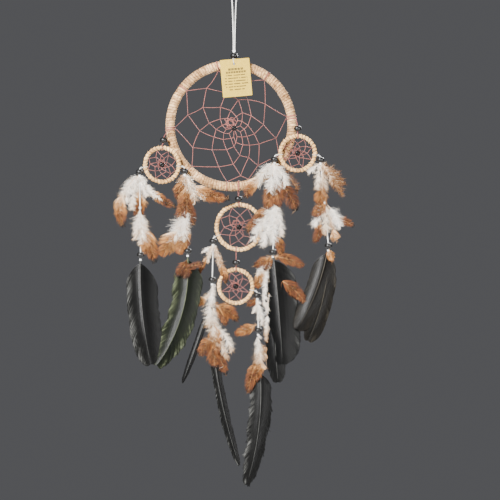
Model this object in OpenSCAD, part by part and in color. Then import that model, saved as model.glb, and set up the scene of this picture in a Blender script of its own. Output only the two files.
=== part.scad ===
// Hanging dream catcher: a wrapped hoop with a thread web, four smaller wrapped rings
// hung from it, and six feather strands with wooden beads.
// X is to the right, Z is up and the front faces -Y. The origin is the inside top of
// the hanging loop. Places are [x, z] pairs unless they have three numbers.

/* [Main hoop] */
// Mean radius of the main hoop
hoop_r = 75; // [70:0.5:76]
// Radius of the main hoop's tube with its lace on
hoop_tube_r = 5.7; // [5:0.1:5.8]
// Radius of the bent wood inside the lace
hoop_core_r = 4; // [3:0.1:4.2]
// Depth of the hoop's centre below the hanging loop
hoop_drop = 163; // [162:0.5:164]

/* [Small rings] */
// Mean radius of the left ring
left_r = 20.7; // [19:0.1:20.8]
// Mean radius of the right ring
right_r = 21.1; // [19:0.1:21.2]
// Mean radius of the upper middle ring
upper_r = 27.6; // [26:0.1:27.8]
// Mean radius of the lower middle ring
lower_r = 20.6; // [19:0.1:20.8]
// Radius of a small ring's tube with its lace on
ring_tube_r = 2.9; // [2.4:0.1:3]
// Radius of the wire inside a small ring's lace
ring_core_r = 1.4; // [1:0.1:2]
// How far the two side rings hang in front of the main hoop
side_front = 10.5; // [10:0.1:12]
// Number of lashings that hold a small web
ring_ties = 8; // [6:1:9]

/* [Threads and beads] */
// Radius of the waxed thread in the webs and lashings
thread_r = 0.4; // [0.3:0.05:0.5]
// Radius of a strand's cotton cord
cord_r = 0.75; // [0.5:0.05:0.8]
// Radius of the hanging loop's cord
loop_cord_r = 0.7; // [0.5:0.05:0.75]
// Radius of a strand bead
bead_r = 4.6; // [4:0.1:4.8]
// Height of a strand bead
bead_h = 6.5; // [5:0.1:6.6]
// Radius of the hole through a bead
bore_r = 1.2; // [1:0.05:1.4]
// Radius of the small bead in the middle of a web
web_bead_r = 2.9; // [2.2:0.1:3]
// How far the hoop's net lies in front of the hoop's middle
hoop_web_front = 1.6; // [0:0.1:3]

/* [Tag] */
// Width of the card tag
tag_w = 36; // [30:1:40]
// Height of the card tag
tag_h = 46; // [40:1:50]
// Thickness of the card
tag_t = 0.6; // [0.4:0.1:0.8]
// Lean of the tag, in degrees
tag_lean = 5; // [0:1:8]

/* [Feathers] */
// Thickness of a feather's plate, quill and vane together
vane_t = 1.2; // [0.8:0.1:1.2]

/* [Hidden] */
$fn = 48;

// Running clearance between things that touch lightly, and slack of a tied loop
touch = 0.02;
slack = 0.35;

// Ring centres
hoop_c = [-3.7, -hoop_drop];
left_c = hoop_c + [-84.3, -48.7];
right_c = hoop_c + [81.5, -34.6];
upper_c = hoop_c + [9.8, -124.8];
lower_c = hoop_c + [5.7, -197.8];

// Where the hanging loop's cord ends at its knot, and the bead under it
knot_z = -71.5;
top_bead_c = [0, -77];
hanger_z = hoop_c.y + sqrt(hoop_r * hoop_r - hoop_c.x * hoop_c.x);

// The bead above each ring
left_bead_c = [-86, left_c.y + 30];
right_bead_c = [right_c.x, right_c.y + 30.1];
upper_bead_c = [5.5, upper_c.y + 34.8];
lower_bead_c = [2.5, lower_c.y + 29.3];

// Upper and lower bead of each strand
a_up = left_c + [-27.4, -9];
a_low = a_up + [1.3, -101.4];
b_up = left_c + [27.8, -7.8];
b_low = b_up + [3.8, -97.8];
c_up = upper_c + [-31.8, -17.5];
c_low = c_up + [-1.1, -47.3];
d_up = right_c + [-28.2, -7.6];
d_low = d_up + [-1.8, -113.3];
e_up = right_c + [28, -8.1];
e_low = e_up + [9.7, -105.2];
f_up = lower_c + [26.6, -11.1];
f_low = f_up + [1.4, -42.8];

// A strand's knot, seen from its upper bead: beside the ring and above the bead
knot_up = 5.3;
knot_in = 1.8;

// Lashing angles of the hand-tied main web, and how far each row of a web is drawn in
hoop_angles = [9, 54, 103, 142, 182, 226, 266, 288, 328];
hoop_pull = [0.83, 0.78, 0.75, 0.73, 0.72, 0.72];
ring_pull = [0.72, 0.66, 0.6];
hoop_web_c = hoop_c + [3.7, -3.2];

// Tag centre, and its hole as seen from the centre
tag_c = [2.6, -105.2];
tag_front = 9.6;
tag_hole_up = 17.2;
tag_hole_side = -1;
tag_hole_r = 1.5;
tag_corner_r = 2;

// Half of the hanging loop's route, from the knot to the loop's inside top
loop_side = [
  [0.75, knot_z + 0.5], [0.78, -66], [0.85, -60], [0.95, -54], [1.1, -48], [1.3, -40],
  [1.55, -32], [1.8, -24], [2.05, -17], [2.3, -12], [2.5, -9], [2.9, -6.2], [3.2, -4],
  [3.3, -2.4], [2.9, -0.8], [1.7, 0.35]
];
loop_route = [
  for (p = loop_side) [-p.x, 0, p.y],
  [0, 0, loop_cord_r],
  for (i = [len(loop_side) - 1 : -1 : 0]) [loop_side[i].x, 0, loop_side[i].y]
];

// The tag's string: over the card's top edge, through its hole and back up behind it
string_route = [
  [-1.2, -4.8, -81.6], [-1.3, -6.5, -81.2], [-1.2, -8.8, -81.3], [-1.1, -10.3, -82.3],
  [-0.9, -10.3, -84], [-0.4, -10.2, -86.8], [0, -9.9, -88], [0.1, -9.2, -88.4],
  [0.3, -8.6, -87.6], [0.8, -8.5, -84.4], [1.2, -8.2, -82.4], [1.3, -6.6, -81.4],
  [1.2, -4.8, -81.6]
];

// Feather rows: [base x, base z, tip x, tip z, width, bow, layer], all measured from a
// bead. Bow is how far the middle stands to the right of a straight quill. Layers are
// counted away from the cord: to the front below zero, to the back above it.
a_top = [
  [-1.5, -3.6, -17.6, -66.3, 16, -11, -1], [0, -3.6, -0.6, -50, 15, 0, 1],
  [1.5, -3.6, 45, -41, 13, -6, -2], [1.6, -48, 18.4, -108, 17, 0, -1],
  [0, -56, -6, -86, 11, 0, 1]
];
a_long = [[-0.5, -4.6, 12, -134, 36, -2, 0]];
b_top = [
  [0, -3.6, 1.2, -65.5, 17, 0, -1], [1.5, -3.6, 52.2, -32.5, 13, -7, -2],
  [-1, -3.6, -5, -36, 9, 0, 1], [2, -46.5, -31, -100, 22, 0, 1],
  [3, -50, 13.2, -80.5, 11, 0, -2]
];
b_small = [[0, -6.2, -1.6, -40.7, 22, 0, -1], [-1, -6.2, -13, -32, 10, 0, 1]];
b_long = [[-0.5, -4.6, -34.6, -140.7, 28, 12, 0]];
c_top = [[-1, -3.6, -15.8, -40.7, 9, 0, -1], [1, -3.6, 6.2, -38.7, 9, 0, 1]];
c_small = [
  [0, -6.2, -3.2, -72, 16, 0, -1], [-1, -7, -16, -27, 8, 0, 1],
  [1, -29, 27.6, -55.4, 11, 0, 1], [-3, -64, -6.2, -114, 20, 0, 1],
  [-1, -74, 20.8, -102, 12, 0, -1]
];
c_long = [
  [-0.5, -4.6, -36, -125, 11, 3, 0], [-1, -58, 33, -229, 11, -5, 0]
];
d_top = [
  [0, -3.6, -1.6, -60, 24, 0, -1], [-1.5, -3.6, -36.6, -46.8, 13, 0, 1],
  [1.5, -3.6, 28.4, -44.8, 13, -4, -2], [1, -6, 26.4, -62.8, 13, -1, 2],
  [-1, -64, -15, -104, 24, 0, 1], [-1.5, -62, -35.6, -90.8, 13, 0, -1]
];
d_small = [
  [-1, -6.2, -24.8, -43.5, 15, 0, -1], [-1.5, -8, -9.8, -93.5, 6, 0, 1],
  [1, -6.2, 36, -19.5, 11, 0, -2], [3, -22, 31, -63, 10, 0, 1]
];
d_long = [[0.5, -4.6, 12.2, -138.5, 33, -2, 0]];
e_top = [
  [-1.5, -3.6, -13.8, -26.3, 8, 0, -1], [0, -3.6, 1.2, -64, 19, 0, 1],
  [1.5, -3.6, 29.2, -44.3, 19, 0, -2], [4, -58, -6.8, -98, 14, 0, -1],
  [6, -57, 40, -85, 15, -4, -2], [7, -68, 14.4, -94, 12, 0, 1]
];
e_small = [[0.5, -6.2, 3.5, -19, 6, 0, -1]];
e_long = [[-1, -4.6, -33.5, -113, 29, 3, 0]];
f_top = [
  [0.5, -3.6, 5.4, -30, 12, 0, -1], [-1, -3.6, -11.4, -13, 6, 0, 1],
  [-0.5, -24, -20.4, -44, 10, 0, 1]
];
f_small = [
  [0, -6.2, -2, -42, 16, 0, -1], [-1, -30, -11, -75, 13, 0, -2],
  [1, -8, 28, -47, 8, 0, 1]
];
f_long = [[1, -4.6, -14.6, -191.5, 26, 10, 0]];

// Colours
white_cord = [0.85, 0.84, 0.82];
suede = [0.84, 0.72, 0.56];
red_thread = [0.62, 0.34, 0.3];
black_bead = [0.13, 0.12, 0.12];
bare_wood = [0.7, 0.55, 0.36];
wire_grey = [0.6, 0.6, 0.6];
card = [0.87, 0.79, 0.55];
down_white = [0.9, 0.87, 0.83];
down_brown = [0.62, 0.4, 0.25];
plume_black = [0.17, 0.17, 0.16];

// ---- Helpers ----

function unit(v) = v / norm(v);

function heading(route, i) =
  unit(route[min(i + 1, len(route) - 1)] - route[max(i - 1, 0)]);

// One ring of tube corners at a route point; no route here runs along Y for long
function tube_ring(route, i, radius, sides) =
  let (
    along = heading(route, i),
    across = unit(cross(along, abs(along.y) > 0.9 ? [1, 0, 0] : [0, 1, 0])),
    other = cross(across, along)
  )
  [
    for (k = [0 : sides - 1])
      route[i] + radius * (cos(360 * k / sides) * across + sin(360 * k / sides) * other)
  ];

module tube(route, radius, sides = 8) {
  corners = [
    for (i = [0 : len(route) - 1], c = tube_ring(route, i, radius, sides)) c
  ];
  last = (len(route) - 1) * sides;
  walls = [
    for (i = [0 : len(route) - 2], k = [0 : sides - 1])
      [
        i * sides + k, i * sides + (k + 1) % sides,
        (i + 1) * sides + (k + 1) % sides, (i + 1) * sides + k
      ]
  ];
  caps = [
    [for (k = [sides - 1 : -1 : 0]) k],
    [for (k = [0 : sides - 1]) last + k]
  ];
  polyhedron(points = corners, faces = concat(walls, caps), convexity = 6);
}

// Puts a shape drawn in X and Y upright, facing the front, at a place
module upright(c, front = 0) {
  translate([c.x, -front, c.y])
    rotate([90, 0, 0])
      children();
}

module torus(mean_r, tube_r) {
  rotate_extrude()
    translate([mean_r, 0])
      circle(tube_r);
}

// The lace on a ring: a sleeve around the core, butted where its two ends meet
module wrap(mean_r, tube_r, core_r) {
  rotate_extrude(angle = 359)
    translate([mean_r, 0])
      difference() {
        circle(tube_r);
        circle(core_r + touch);
      }
}

// A loop of thread round a ring's tube, at an angle on that ring
module tied_loop(c, front, ring_r, tube_r, at, wire_r, gap = touch) {
  upright(c, front)
    rotate(at)
      translate([ring_r, 0, 0])
        rotate([90, 0, 0])
          torus(tube_r + gap + wire_r, wire_r);
}

module bead(c, front, radius = bead_r, height = bead_h, hole = bore_r) {
  translate([c.x, -front, c.y])
    rotate_extrude()
      intersection() {
        translate([radius - height / 2, 0])
          circle(height / 2);
        translate([hole, -height / 2])
          square([radius, height]);
      }
}

// A thin straight strip between two points of a net
module strip(a, b, width) {
  run = b - a;
  translate(a)
    rotate(atan2(run.y, run.x))
      translate([0, -width / 2])
        square([norm(run), width]);
}

// The next row of knots: each hangs between two knots of the row before, drawn inwards
function next_row(row, middle, pull) = [
  for (i = [0 : len(row) - 1])
    middle + pull * ((row[i] + row[(i + 1) % len(row)]) / 2 - middle)
];

function web_rows(row, middle, pulls, i = 0) =
  i == len(pulls) ? [row]
  : concat([row], web_rows(next_row(row, middle, pulls[i]), middle, pulls, i + 1));

// A web of looped thread, tied at the given angles inside a ring
module web(c, front, reach, angles, pulls, middle) {
  first = [for (a = angles) c + reach * [cos(a), sin(a)]];
  rows = web_rows(first, middle, pulls);
  n = len(angles);
  translate([0, -front + thread_r, 0])
    rotate([90, 0, 0])
      linear_extrude(2 * thread_r)
        offset(delta = 0.01)
          union() {
            for (r = [0 : len(pulls) - 1], i = [0 : n - 1]) {
              strip(rows[r][i], rows[r + 1][i], 2 * thread_r);
              strip(rows[r][(i + 1) % n], rows[r + 1][i], 2 * thread_r);
            }
            for (row = rows, p = row)
              translate(p)
                circle(thread_r, $fn = 8);
            for (p = rows[len(pulls)])
              strip(p, middle + (web_bead_r + touch) * unit(p - middle), 2 * thread_r);
          }
}

// The small bead in the middle of a web
module web_bead(middle, front) {
  upright(middle, front)
    rotate_extrude()
      intersection() {
        translate([web_bead_r / 3, 0])
          circle(web_bead_r * 2 / 3);
        translate([0, -web_bead_r])
          square([web_bead_r, 2 * web_bead_r]);
      }
}

// How far a web reaches: to the inside of the thread loops round its ring
function web_reach(mean_r, tube_r) = mean_r - tube_r - 3 * (thread_r + touch);

// A small ring's web, drawn to the ring's own centre
module ring_web(c, front, mean_r) {
  angles = [for (i = [0 : ring_ties - 1]) 20 + i * 360 / ring_ties];
  web(c, front, web_reach(mean_r, ring_tube_r), angles, ring_pull, c);
}

// Half width of a feather along its quill: bare quill, full vane, narrow tip
quill_half = 0.5;
function vane_half(t, width) =
  quill_half + (width / 2 - quill_half) * pow(sin(180 * pow(t, 0.8)), 0.7);

stations = 12;
function feather_outline(row) =
  let (
    base = [row[0], row[1]],
    run = [row[2], row[3]] - base,
    along = unit(run),
    side = [-along.y, along.x],
    line = [
      for (i = [0 : stations])
        let (t = i / stations)
        base + t * run + 4 * t * (1 - t) * row[5] * side
    ],
    edge = [
      for (i = [0 : stations])
        let (d = unit(line[min(i + 1, stations)] - line[max(i - 1, 0)]))
        vane_half(i / stations, row[4]) * [-d.y, d.x]
    ]
  )
  concat(
    [for (i = [0 : stations]) line[i] + edge[i]],
    [for (i = [stations : -1 : 0]) line[i] - edge[i]]
  );

// How far behind its strand's plane a feather's plate begins. Beside the cord the first
// layers stand off it; under the lower bead there is no cord and a middle layer.
beside_cord = cord_r + 0.05;
under_bead = vane_t / 2 + 0.1;
layer_gap = 0.1;
function layer_back(layer, first) =
  layer == 0 ? -vane_t / 2
  : layer > 0 ? first + (layer - 1) * (vane_t + layer_gap)
  : -first - vane_t + (layer + 1) * (vane_t + layer_gap);

module feathers(rows, c, front, first) {
  for (row = rows)
    translate([c.x, -front + layer_back(row[6], first) + vane_t, c.y])
      rotate([90, 0, 0])
        linear_extrude(vane_t)
          polygon(feather_outline(row));
}

// A strand's cord, from its knot beside the ring, through both beads
module strand_cord(up, low, front, side) {
  bend = low - up;
  flat = [
    up + [side * knot_in, knot_up], up + [side * 0.6, 4.2], up + [0, 2.6], up,
    up + 0.2 * bend, up + 0.4 * bend, up + 0.6 * bend, up + 0.8 * bend, low,
    low + [0, -bead_h / 2]
  ];
  tube([for (p = flat) [p.x, -front, p.y]], cord_r);
}

module strand_beads(up, low, front) {
  bead(up, front);
  bead(low, front);
}

// Angle on a ring of a strand's knot
function knot_angle(up, side, c) =
  atan2(up.y + knot_up - c.y, up.x + side * knot_in - c.x);

module strand_loop(up, side, c, front, ring_r) {
  tied_loop(c, front, ring_r, ring_tube_r, knot_angle(up, side, c), thread_r);
}

// ---- Hanger ----

module hang_loop() {
  color(white_cord)
    tube(loop_route, loop_cord_r);
}

module loop_knot() {
  color(white_cord)
    for (turn = [-1 : 1])
      translate([0, 0, knot_z + turn * 1.1])
        torus(1.1, 0.75);
}

module top_bead() {
  color(black_bead)
    bead(top_bead_c, 0);
}

module hanger_hitch() {
  loop_r = hoop_tube_r + slack + loop_cord_r;
  color(white_cord)
    union() {
      translate([0, 0, hanger_z])
        rotate([0, 90, 0])
          torus(loop_r, loop_cord_r);
      translate([0, 0, hanger_z + loop_r])
        cylinder(h = top_bead_c.y + bead_h / 2 - hanger_z - loop_r, r = loop_cord_r);
    }
}

module tag_card() {
  color(card)
    upright(tag_c, tag_front - tag_t)
      rotate(tag_lean)
        linear_extrude(tag_t)
          difference() {
            offset(r = tag_corner_r)
              square([tag_w - 2 * tag_corner_r, tag_h - 2 * tag_corner_r], center = true);
            translate([tag_hole_side, tag_hole_up])
              circle(tag_hole_r);
          }
}

module tag_string() {
  color(white_cord)
    tube(string_route, thread_r);
}

// ---- Main hoop ----

module hoop_core() {
  color(bare_wood)
    upright(hoop_c)
      torus(hoop_r, hoop_core_r);
}

module hoop_wrap() {
  color(suede)
    upright(hoop_c)
      rotate(250)
        wrap(hoop_r, hoop_tube_r, hoop_core_r);
}

module hoop_web() {
  reach = web_reach(hoop_r, hoop_tube_r);
  color(red_thread)
    web(hoop_c, hoop_web_front, reach, hoop_angles, hoop_pull, hoop_web_c);
}

module hoop_web_bead() {
  color(black_bead)
    web_bead(hoop_web_c, hoop_web_front);
}

// Thread round the hoop at each web point, and the two loops the side rings hang from
left_hook_angle = 184;
right_hook_angle = 6.5;
module hoop_lashings() {
  color(red_thread)
    for (a = concat(hoop_angles, [left_hook_angle, right_hook_angle]))
      tied_loop(hoop_c, 0, hoop_r, hoop_tube_r, a, thread_r);
}

// ---- Small rings ----

module ring_core(c, front, mean_r) {
  color(wire_grey)
    upright(c, front)
      torus(mean_r, ring_core_r);
}

module ring_wrap(c, front, mean_r) {
  color(suede)
    upright(c, front)
      rotate(60)
        wrap(mean_r, ring_tube_r, ring_core_r);
}

module ring_beads(hung, c, front) {
  color(black_bead) {
    bead(hung, front);
    web_bead(c, front);
  }
}

// Thread that carries a side ring: hooked on the hoop, through the bead, to the ring's top
module side_ties(start, hung, c, ring_r, strands) {
  top = [c.x, c.y + ring_r + ring_tube_r + 2 * thread_r + 0.3];
  route = [
    [start.x, -hoop_tube_r - 2 * thread_r - 1.1, start.y],
    [(start.x + hung.x) / 2, -side_front + 1, (start.y + hung.y) / 2 + 2],
    [hung.x, -side_front, hung.y + 3], [hung.x, -side_front, hung.y - 2.5],
    [top.x, -side_front, top.y]
  ];
  color(red_thread) {
    tube(route, thread_r);
    tied_loop(c, side_front, ring_r, ring_tube_r, 90, thread_r);
    for (s = strands)
      strand_loop(s[0], s[1], c, side_front, ring_r);
  }
}

// Straight thread between two heights
module drop_thread(x, high, low) {
  translate([x, 0, low])
    cylinder(h = high - low, r = thread_r);
}

module left_core() { ring_core(left_c, side_front, left_r); }
module left_wrap() { ring_wrap(left_c, side_front, left_r); }
module left_web() { color(red_thread) ring_web(left_c, side_front, left_r); }
module left_beads() { ring_beads(left_bead_c, left_c, side_front); }
left_hook = [-80, hoop_c.y - 5.3];
module left_ties() {
  side_ties(left_hook, left_bead_c, left_c, left_r, [[a_up, 1], [b_up, -1]]);
}

module right_core() { ring_core(right_c, side_front, right_r); }
module right_wrap() { ring_wrap(right_c, side_front, right_r); }
module right_web() { color(red_thread) ring_web(right_c, side_front, right_r); }
module right_beads() { ring_beads(right_bead_c, right_c, side_front); }
right_hook = [75.5, hoop_c.y + 8.2];
module right_ties() {
  side_ties(right_hook, right_bead_c, right_c, right_r, [[d_up, 1], [e_up, -1]]);
}

module upper_core() { ring_core(upper_c, 0, upper_r); }
module upper_wrap() { ring_wrap(upper_c, 0, upper_r); }
module upper_web() { color(red_thread) ring_web(upper_c, 0, upper_r); }
module upper_beads() { ring_beads(upper_bead_c, upper_c, 0); }

// The loop that the upper ring hangs by goes round the hoop's lowest stretch, with slack to sway
sway_slack = 0.35;
upper_hook_z = hoop_c.y - sqrt(hoop_r * hoop_r - pow(upper_bead_c.x - hoop_c.x, 2));
module upper_ties() {
  loop_r = hoop_tube_r + slack + sway_slack + thread_r;
  ring_top = upper_c.y + upper_r + ring_tube_r + 2 * thread_r;
  color(red_thread) {
    union() {
      translate([upper_bead_c.x, 0, upper_hook_z])
        rotate([0, 90, 0])
          torus(loop_r, thread_r);
      drop_thread(upper_bead_c.x, upper_hook_z - loop_r, ring_top + 0.1);
    }
    tied_loop(upper_c, 0, upper_r, ring_tube_r, 90, thread_r);
    tied_loop(upper_c, 0, upper_r, ring_tube_r, 263, thread_r);
    strand_loop(c_up, 1, upper_c, 0, upper_r);
  }
}

module lower_core() { ring_core(lower_c, 0, lower_r); }
module lower_wrap() { ring_wrap(lower_c, 0, lower_r); }
module lower_web() { color(red_thread) ring_web(lower_c, 0, lower_r); }
module lower_beads() { ring_beads(lower_bead_c, lower_c, 0); }
module lower_ties() {
  from_z = upper_c.y - upper_r - ring_tube_r - 2 * thread_r - 0.4;
  ring_top = lower_c.y + lower_r + ring_tube_r + 2 * thread_r;
  color(red_thread) {
    drop_thread(lower_bead_c.x, from_z, ring_top + 0.1);
    tied_loop(lower_c, 0, lower_r, ring_tube_r, 90, thread_r);
    strand_loop(f_up, -1, lower_c, 0, lower_r);
  }
}

// ---- Strands ----

module a_cord() { color(white_cord) strand_cord(a_up, a_low, side_front, 1); }
module a_beads() { color(black_bead) strand_beads(a_up, a_low, side_front); }
module a_top_feathers() { color(down_white) feathers(a_top, a_up, side_front, beside_cord); }
module a_long_feather() { color(plume_black) feathers(a_long, a_low, side_front, under_bead); }

module b_cord() { color(white_cord) strand_cord(b_up, b_low, side_front, -1); }
module b_beads() { color(black_bead) strand_beads(b_up, b_low, side_front); }
module b_top_feathers() { color(down_white) feathers(b_top, b_up, side_front, beside_cord); }
module b_low_feathers() { color(down_brown) feathers(b_small, b_low, side_front, under_bead); }
module b_long_feather() { color(plume_black) feathers(b_long, b_low, side_front, under_bead); }

module c_cord() { color(white_cord) strand_cord(c_up, c_low, 0, 1); }
module c_beads() { color(black_bead) strand_beads(c_up, c_low, 0); }
module c_top_feathers() { color(down_white) feathers(c_top, c_up, 0, beside_cord); }
module c_low_feathers() { color(down_brown) feathers(c_small, c_low, 0, under_bead); }
module c_long_feathers() { color(plume_black) feathers(c_long, c_low, 0, under_bead); }

module d_cord() { color(white_cord) strand_cord(d_up, d_low, side_front, 1); }
module d_beads() { color(black_bead) strand_beads(d_up, d_low, side_front); }
module d_top_feathers() { color(down_white) feathers(d_top, d_up, side_front, beside_cord); }
module d_low_feathers() { color(down_brown) feathers(d_small, d_low, side_front, under_bead); }
module d_long_feather() { color(plume_black) feathers(d_long, d_low, side_front, under_bead); }

module e_cord() { color(white_cord) strand_cord(e_up, e_low, side_front, -1); }
module e_beads() { color(black_bead) strand_beads(e_up, e_low, side_front); }
module e_top_feathers() { color(down_white) feathers(e_top, e_up, side_front, beside_cord); }
module e_low_feather() { color(down_brown) feathers(e_small, e_low, side_front, under_bead); }
module e_long_feather() { color(plume_black) feathers(e_long, e_low, side_front, under_bead); }

module f_cord() { color(white_cord) strand_cord(f_up, f_low, 0, -1); }
module f_beads() { color(black_bead) strand_beads(f_up, f_low, 0); }
module f_top_feathers() { color(down_white) feathers(f_top, f_up, 0, beside_cord); }
module f_low_feathers() { color(down_brown) feathers(f_small, f_low, 0, under_bead); }
module f_long_feather() { color(plume_black) feathers(f_long, f_low, 0, under_bead); }

hang_loop();
loop_knot();
top_bead();
hanger_hitch();
tag_card();
tag_string();
hoop_core();
hoop_wrap();
hoop_web();
hoop_web_bead();
hoop_lashings();
left_core();
left_wrap();
left_web();
left_beads();
left_ties();
right_core();
right_wrap();
right_web();
right_beads();
right_ties();
upper_core();
upper_wrap();
upper_web();
upper_beads();
upper_ties();
lower_core();
lower_wrap();
lower_web();
lower_beads();
lower_ties();
a_cord();
a_beads();
a_top_feathers();
a_long_feather();
b_cord();
b_beads();
b_top_feathers();
b_low_feathers();
b_long_feather();
c_cord();
c_beads();
c_top_feathers();
c_low_feathers();
c_long_feathers();
d_cord();
d_beads();
d_top_feathers();
d_low_feathers();
d_long_feather();
e_cord();
e_beads();
e_top_feathers();
e_low_feather();
e_long_feather();
f_cord();
f_beads();
f_top_feathers();
f_low_feathers();
f_long_feather();
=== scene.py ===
import math

import bpy
import numpy as np
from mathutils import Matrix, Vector


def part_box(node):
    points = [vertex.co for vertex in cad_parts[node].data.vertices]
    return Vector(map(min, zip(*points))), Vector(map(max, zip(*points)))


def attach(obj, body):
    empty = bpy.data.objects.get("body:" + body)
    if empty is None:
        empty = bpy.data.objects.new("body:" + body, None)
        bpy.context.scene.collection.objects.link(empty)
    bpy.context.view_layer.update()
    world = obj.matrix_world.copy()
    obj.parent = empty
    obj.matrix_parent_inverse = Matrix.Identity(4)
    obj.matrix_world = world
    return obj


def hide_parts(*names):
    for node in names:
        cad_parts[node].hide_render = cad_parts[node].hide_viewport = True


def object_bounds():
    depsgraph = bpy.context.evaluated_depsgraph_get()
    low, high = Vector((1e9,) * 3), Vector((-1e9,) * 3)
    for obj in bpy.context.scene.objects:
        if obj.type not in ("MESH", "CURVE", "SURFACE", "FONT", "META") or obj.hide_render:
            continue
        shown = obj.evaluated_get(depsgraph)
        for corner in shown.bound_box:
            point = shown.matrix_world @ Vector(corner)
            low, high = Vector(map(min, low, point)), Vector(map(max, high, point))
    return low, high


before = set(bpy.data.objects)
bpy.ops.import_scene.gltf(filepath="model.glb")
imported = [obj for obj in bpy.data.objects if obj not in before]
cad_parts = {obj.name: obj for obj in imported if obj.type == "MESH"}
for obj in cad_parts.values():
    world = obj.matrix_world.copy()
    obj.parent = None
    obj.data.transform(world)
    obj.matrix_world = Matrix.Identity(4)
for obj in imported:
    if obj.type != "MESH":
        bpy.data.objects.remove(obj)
cad_low, cad_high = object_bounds()

# A dream catcher: a large laced hoop, four small ones and six strands of feathers.
# Lengths are in millimetres in the part's frame, x right, y away and z up, unless a comment
# says metres. Cord routes repeat the points of part.scad, which this script can't read.
MM = 0.001
AWAY = np.array([0, 1.0, 0])
random = np.random.default_rng(20)


def node_box(node):
    """A CAD node's lowest and highest corner, in mm."""
    low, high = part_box(node)
    return np.array(low) / MM, np.array(high) / MM


def middle(node):
    low, high = node_box(node)
    return (low + high) / 2


# ---------------------------------------------------------------- places

HOOP = middle("hoop_core")
HOOP_R, HOOP_TUBE = 75.0, 5.7
RING_R = {"left": 20.7, "right": 21.1, "upper": 27.6, "lower": 20.6}
RING_TUBE = 2.9
RINGS = {name: middle(f"{name}_core") for name in RING_R}
LEFT, RIGHT, UPPER, LOWER = RINGS.values()
RING_BEAD = {
    "left": np.array([-86, LEFT[1], LEFT[2] + 30]),
    "right": RIGHT + [0, 0, 30.1],
    "upper": np.array([5.5, UPPER[1], UPPER[2] + 34.8]),
    "lower": np.array([2.5, LOWER[1], LOWER[2] + 29.3]),
}
# The main net is tied a little to the front of the hoop's middle plane
WEB_FRONT = 1.6
WEB_MIDDLE = HOOP + [3.7, -WEB_FRONT, -3.2]
HANGER_Z = HOOP[2] + math.sqrt(HOOP_R**2 - HOOP[0] ** 2)
# Radii of the threads, beads and cords, and how many mm a cord's plies take to go round once
THREAD, LASHING, HOOP_NET_THREAD, RING_NET_THREAD = 0.4, 0.42, 0.30, 0.35
BEAD_R, BEAD_H, BEAD_BORE = 4.6, 6.5, 1.15
WEB_BEAD_R, WEB_BEAD_H, WEB_BEAD_BORE = 3.3, 4.4, 0.5
CORD_R, LOOP_CORD_R = 0.75, 0.7
CORD_LAY, LOOP_CORD_LAY, THREAD_LAY = 3.6, 3.2, 2.2

# Each strand: its ring, upper bead from the ring, lower bead from the upper, knot's side
STRANDS = {
    "a": (LEFT, (-27.4, -9), (1.3, -101.4), 1),
    "b": (LEFT, (27.8, -7.8), (3.8, -97.8), -1),
    "c": (UPPER, (-31.8, -17.5), (-1.1, -47.3), 1),
    "d": (RIGHT, (-28.2, -7.6), (-1.8, -113.3), 1),
    "e": (RIGHT, (28, -8.1), (9.7, -105.2), -1),
    "f": (LOWER, (26.6, -11.1), (1.4, -42.8), -1),
}
UP, LOW = {}, {}
for key, (ring, to_up, to_low, _) in STRANDS.items():
    UP[key] = ring + [to_up[0], 0, to_up[1]]
    LOW[key] = UP[key] + [to_low[0], 0, to_low[1]]

# ---------------------------------------------------------------- camera and light

# In metres: the picture is a square about the height of the part, seen level from the front
VIEW_HEIGHT = 0.6125
VIEW_CENTRE = Vector((0.0196, -0.008, -0.316))
LENS, SENSOR = 90, 36


def add_camera():
    data = bpy.data.cameras.new("camera")
    data.lens, data.sensor_width = LENS, SENSOR
    data.clip_start, data.clip_end = 0.05, 30
    camera = bpy.data.objects.new("camera", data)
    bpy.context.collection.objects.link(camera)
    away = VIEW_HEIGHT * LENS / SENSOR
    camera.location = VIEW_CENTRE - Vector((0, away, 0))
    camera.rotation_euler = (math.pi / 2, 0, 0)
    bpy.context.scene.camera = camera


def add_area_light(name, place, size, power):
    data = bpy.data.lights.new(name, "AREA")
    data.shape, data.size, data.energy = "DISK", size, power
    light = bpy.data.objects.new(name, data)
    bpy.context.collection.objects.link(light)
    light.location = place
    look = VIEW_CENTRE - Vector(place)
    light.rotation_euler = look.to_track_quat("-Z", "Y").to_euler()


def add_light():
    world = bpy.data.worlds.new("studio")
    world.use_nodes = True
    background = world.node_tree.nodes["Background"]
    background.inputs["Color"].default_value = (0.092, 0.093, 0.099, 1)
    bpy.context.scene.world = world
    add_area_light("key", (-0.75, -1.35, 0.45), 0.35, 150)
    add_area_light("fill", (1.2, -1.2, -0.25), 0.9, 42)
    add_area_light("back", (0.6, 1.4, 0.5), 0.8, 48)


# ---------------------------------------------------------------- mesh helpers


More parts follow.
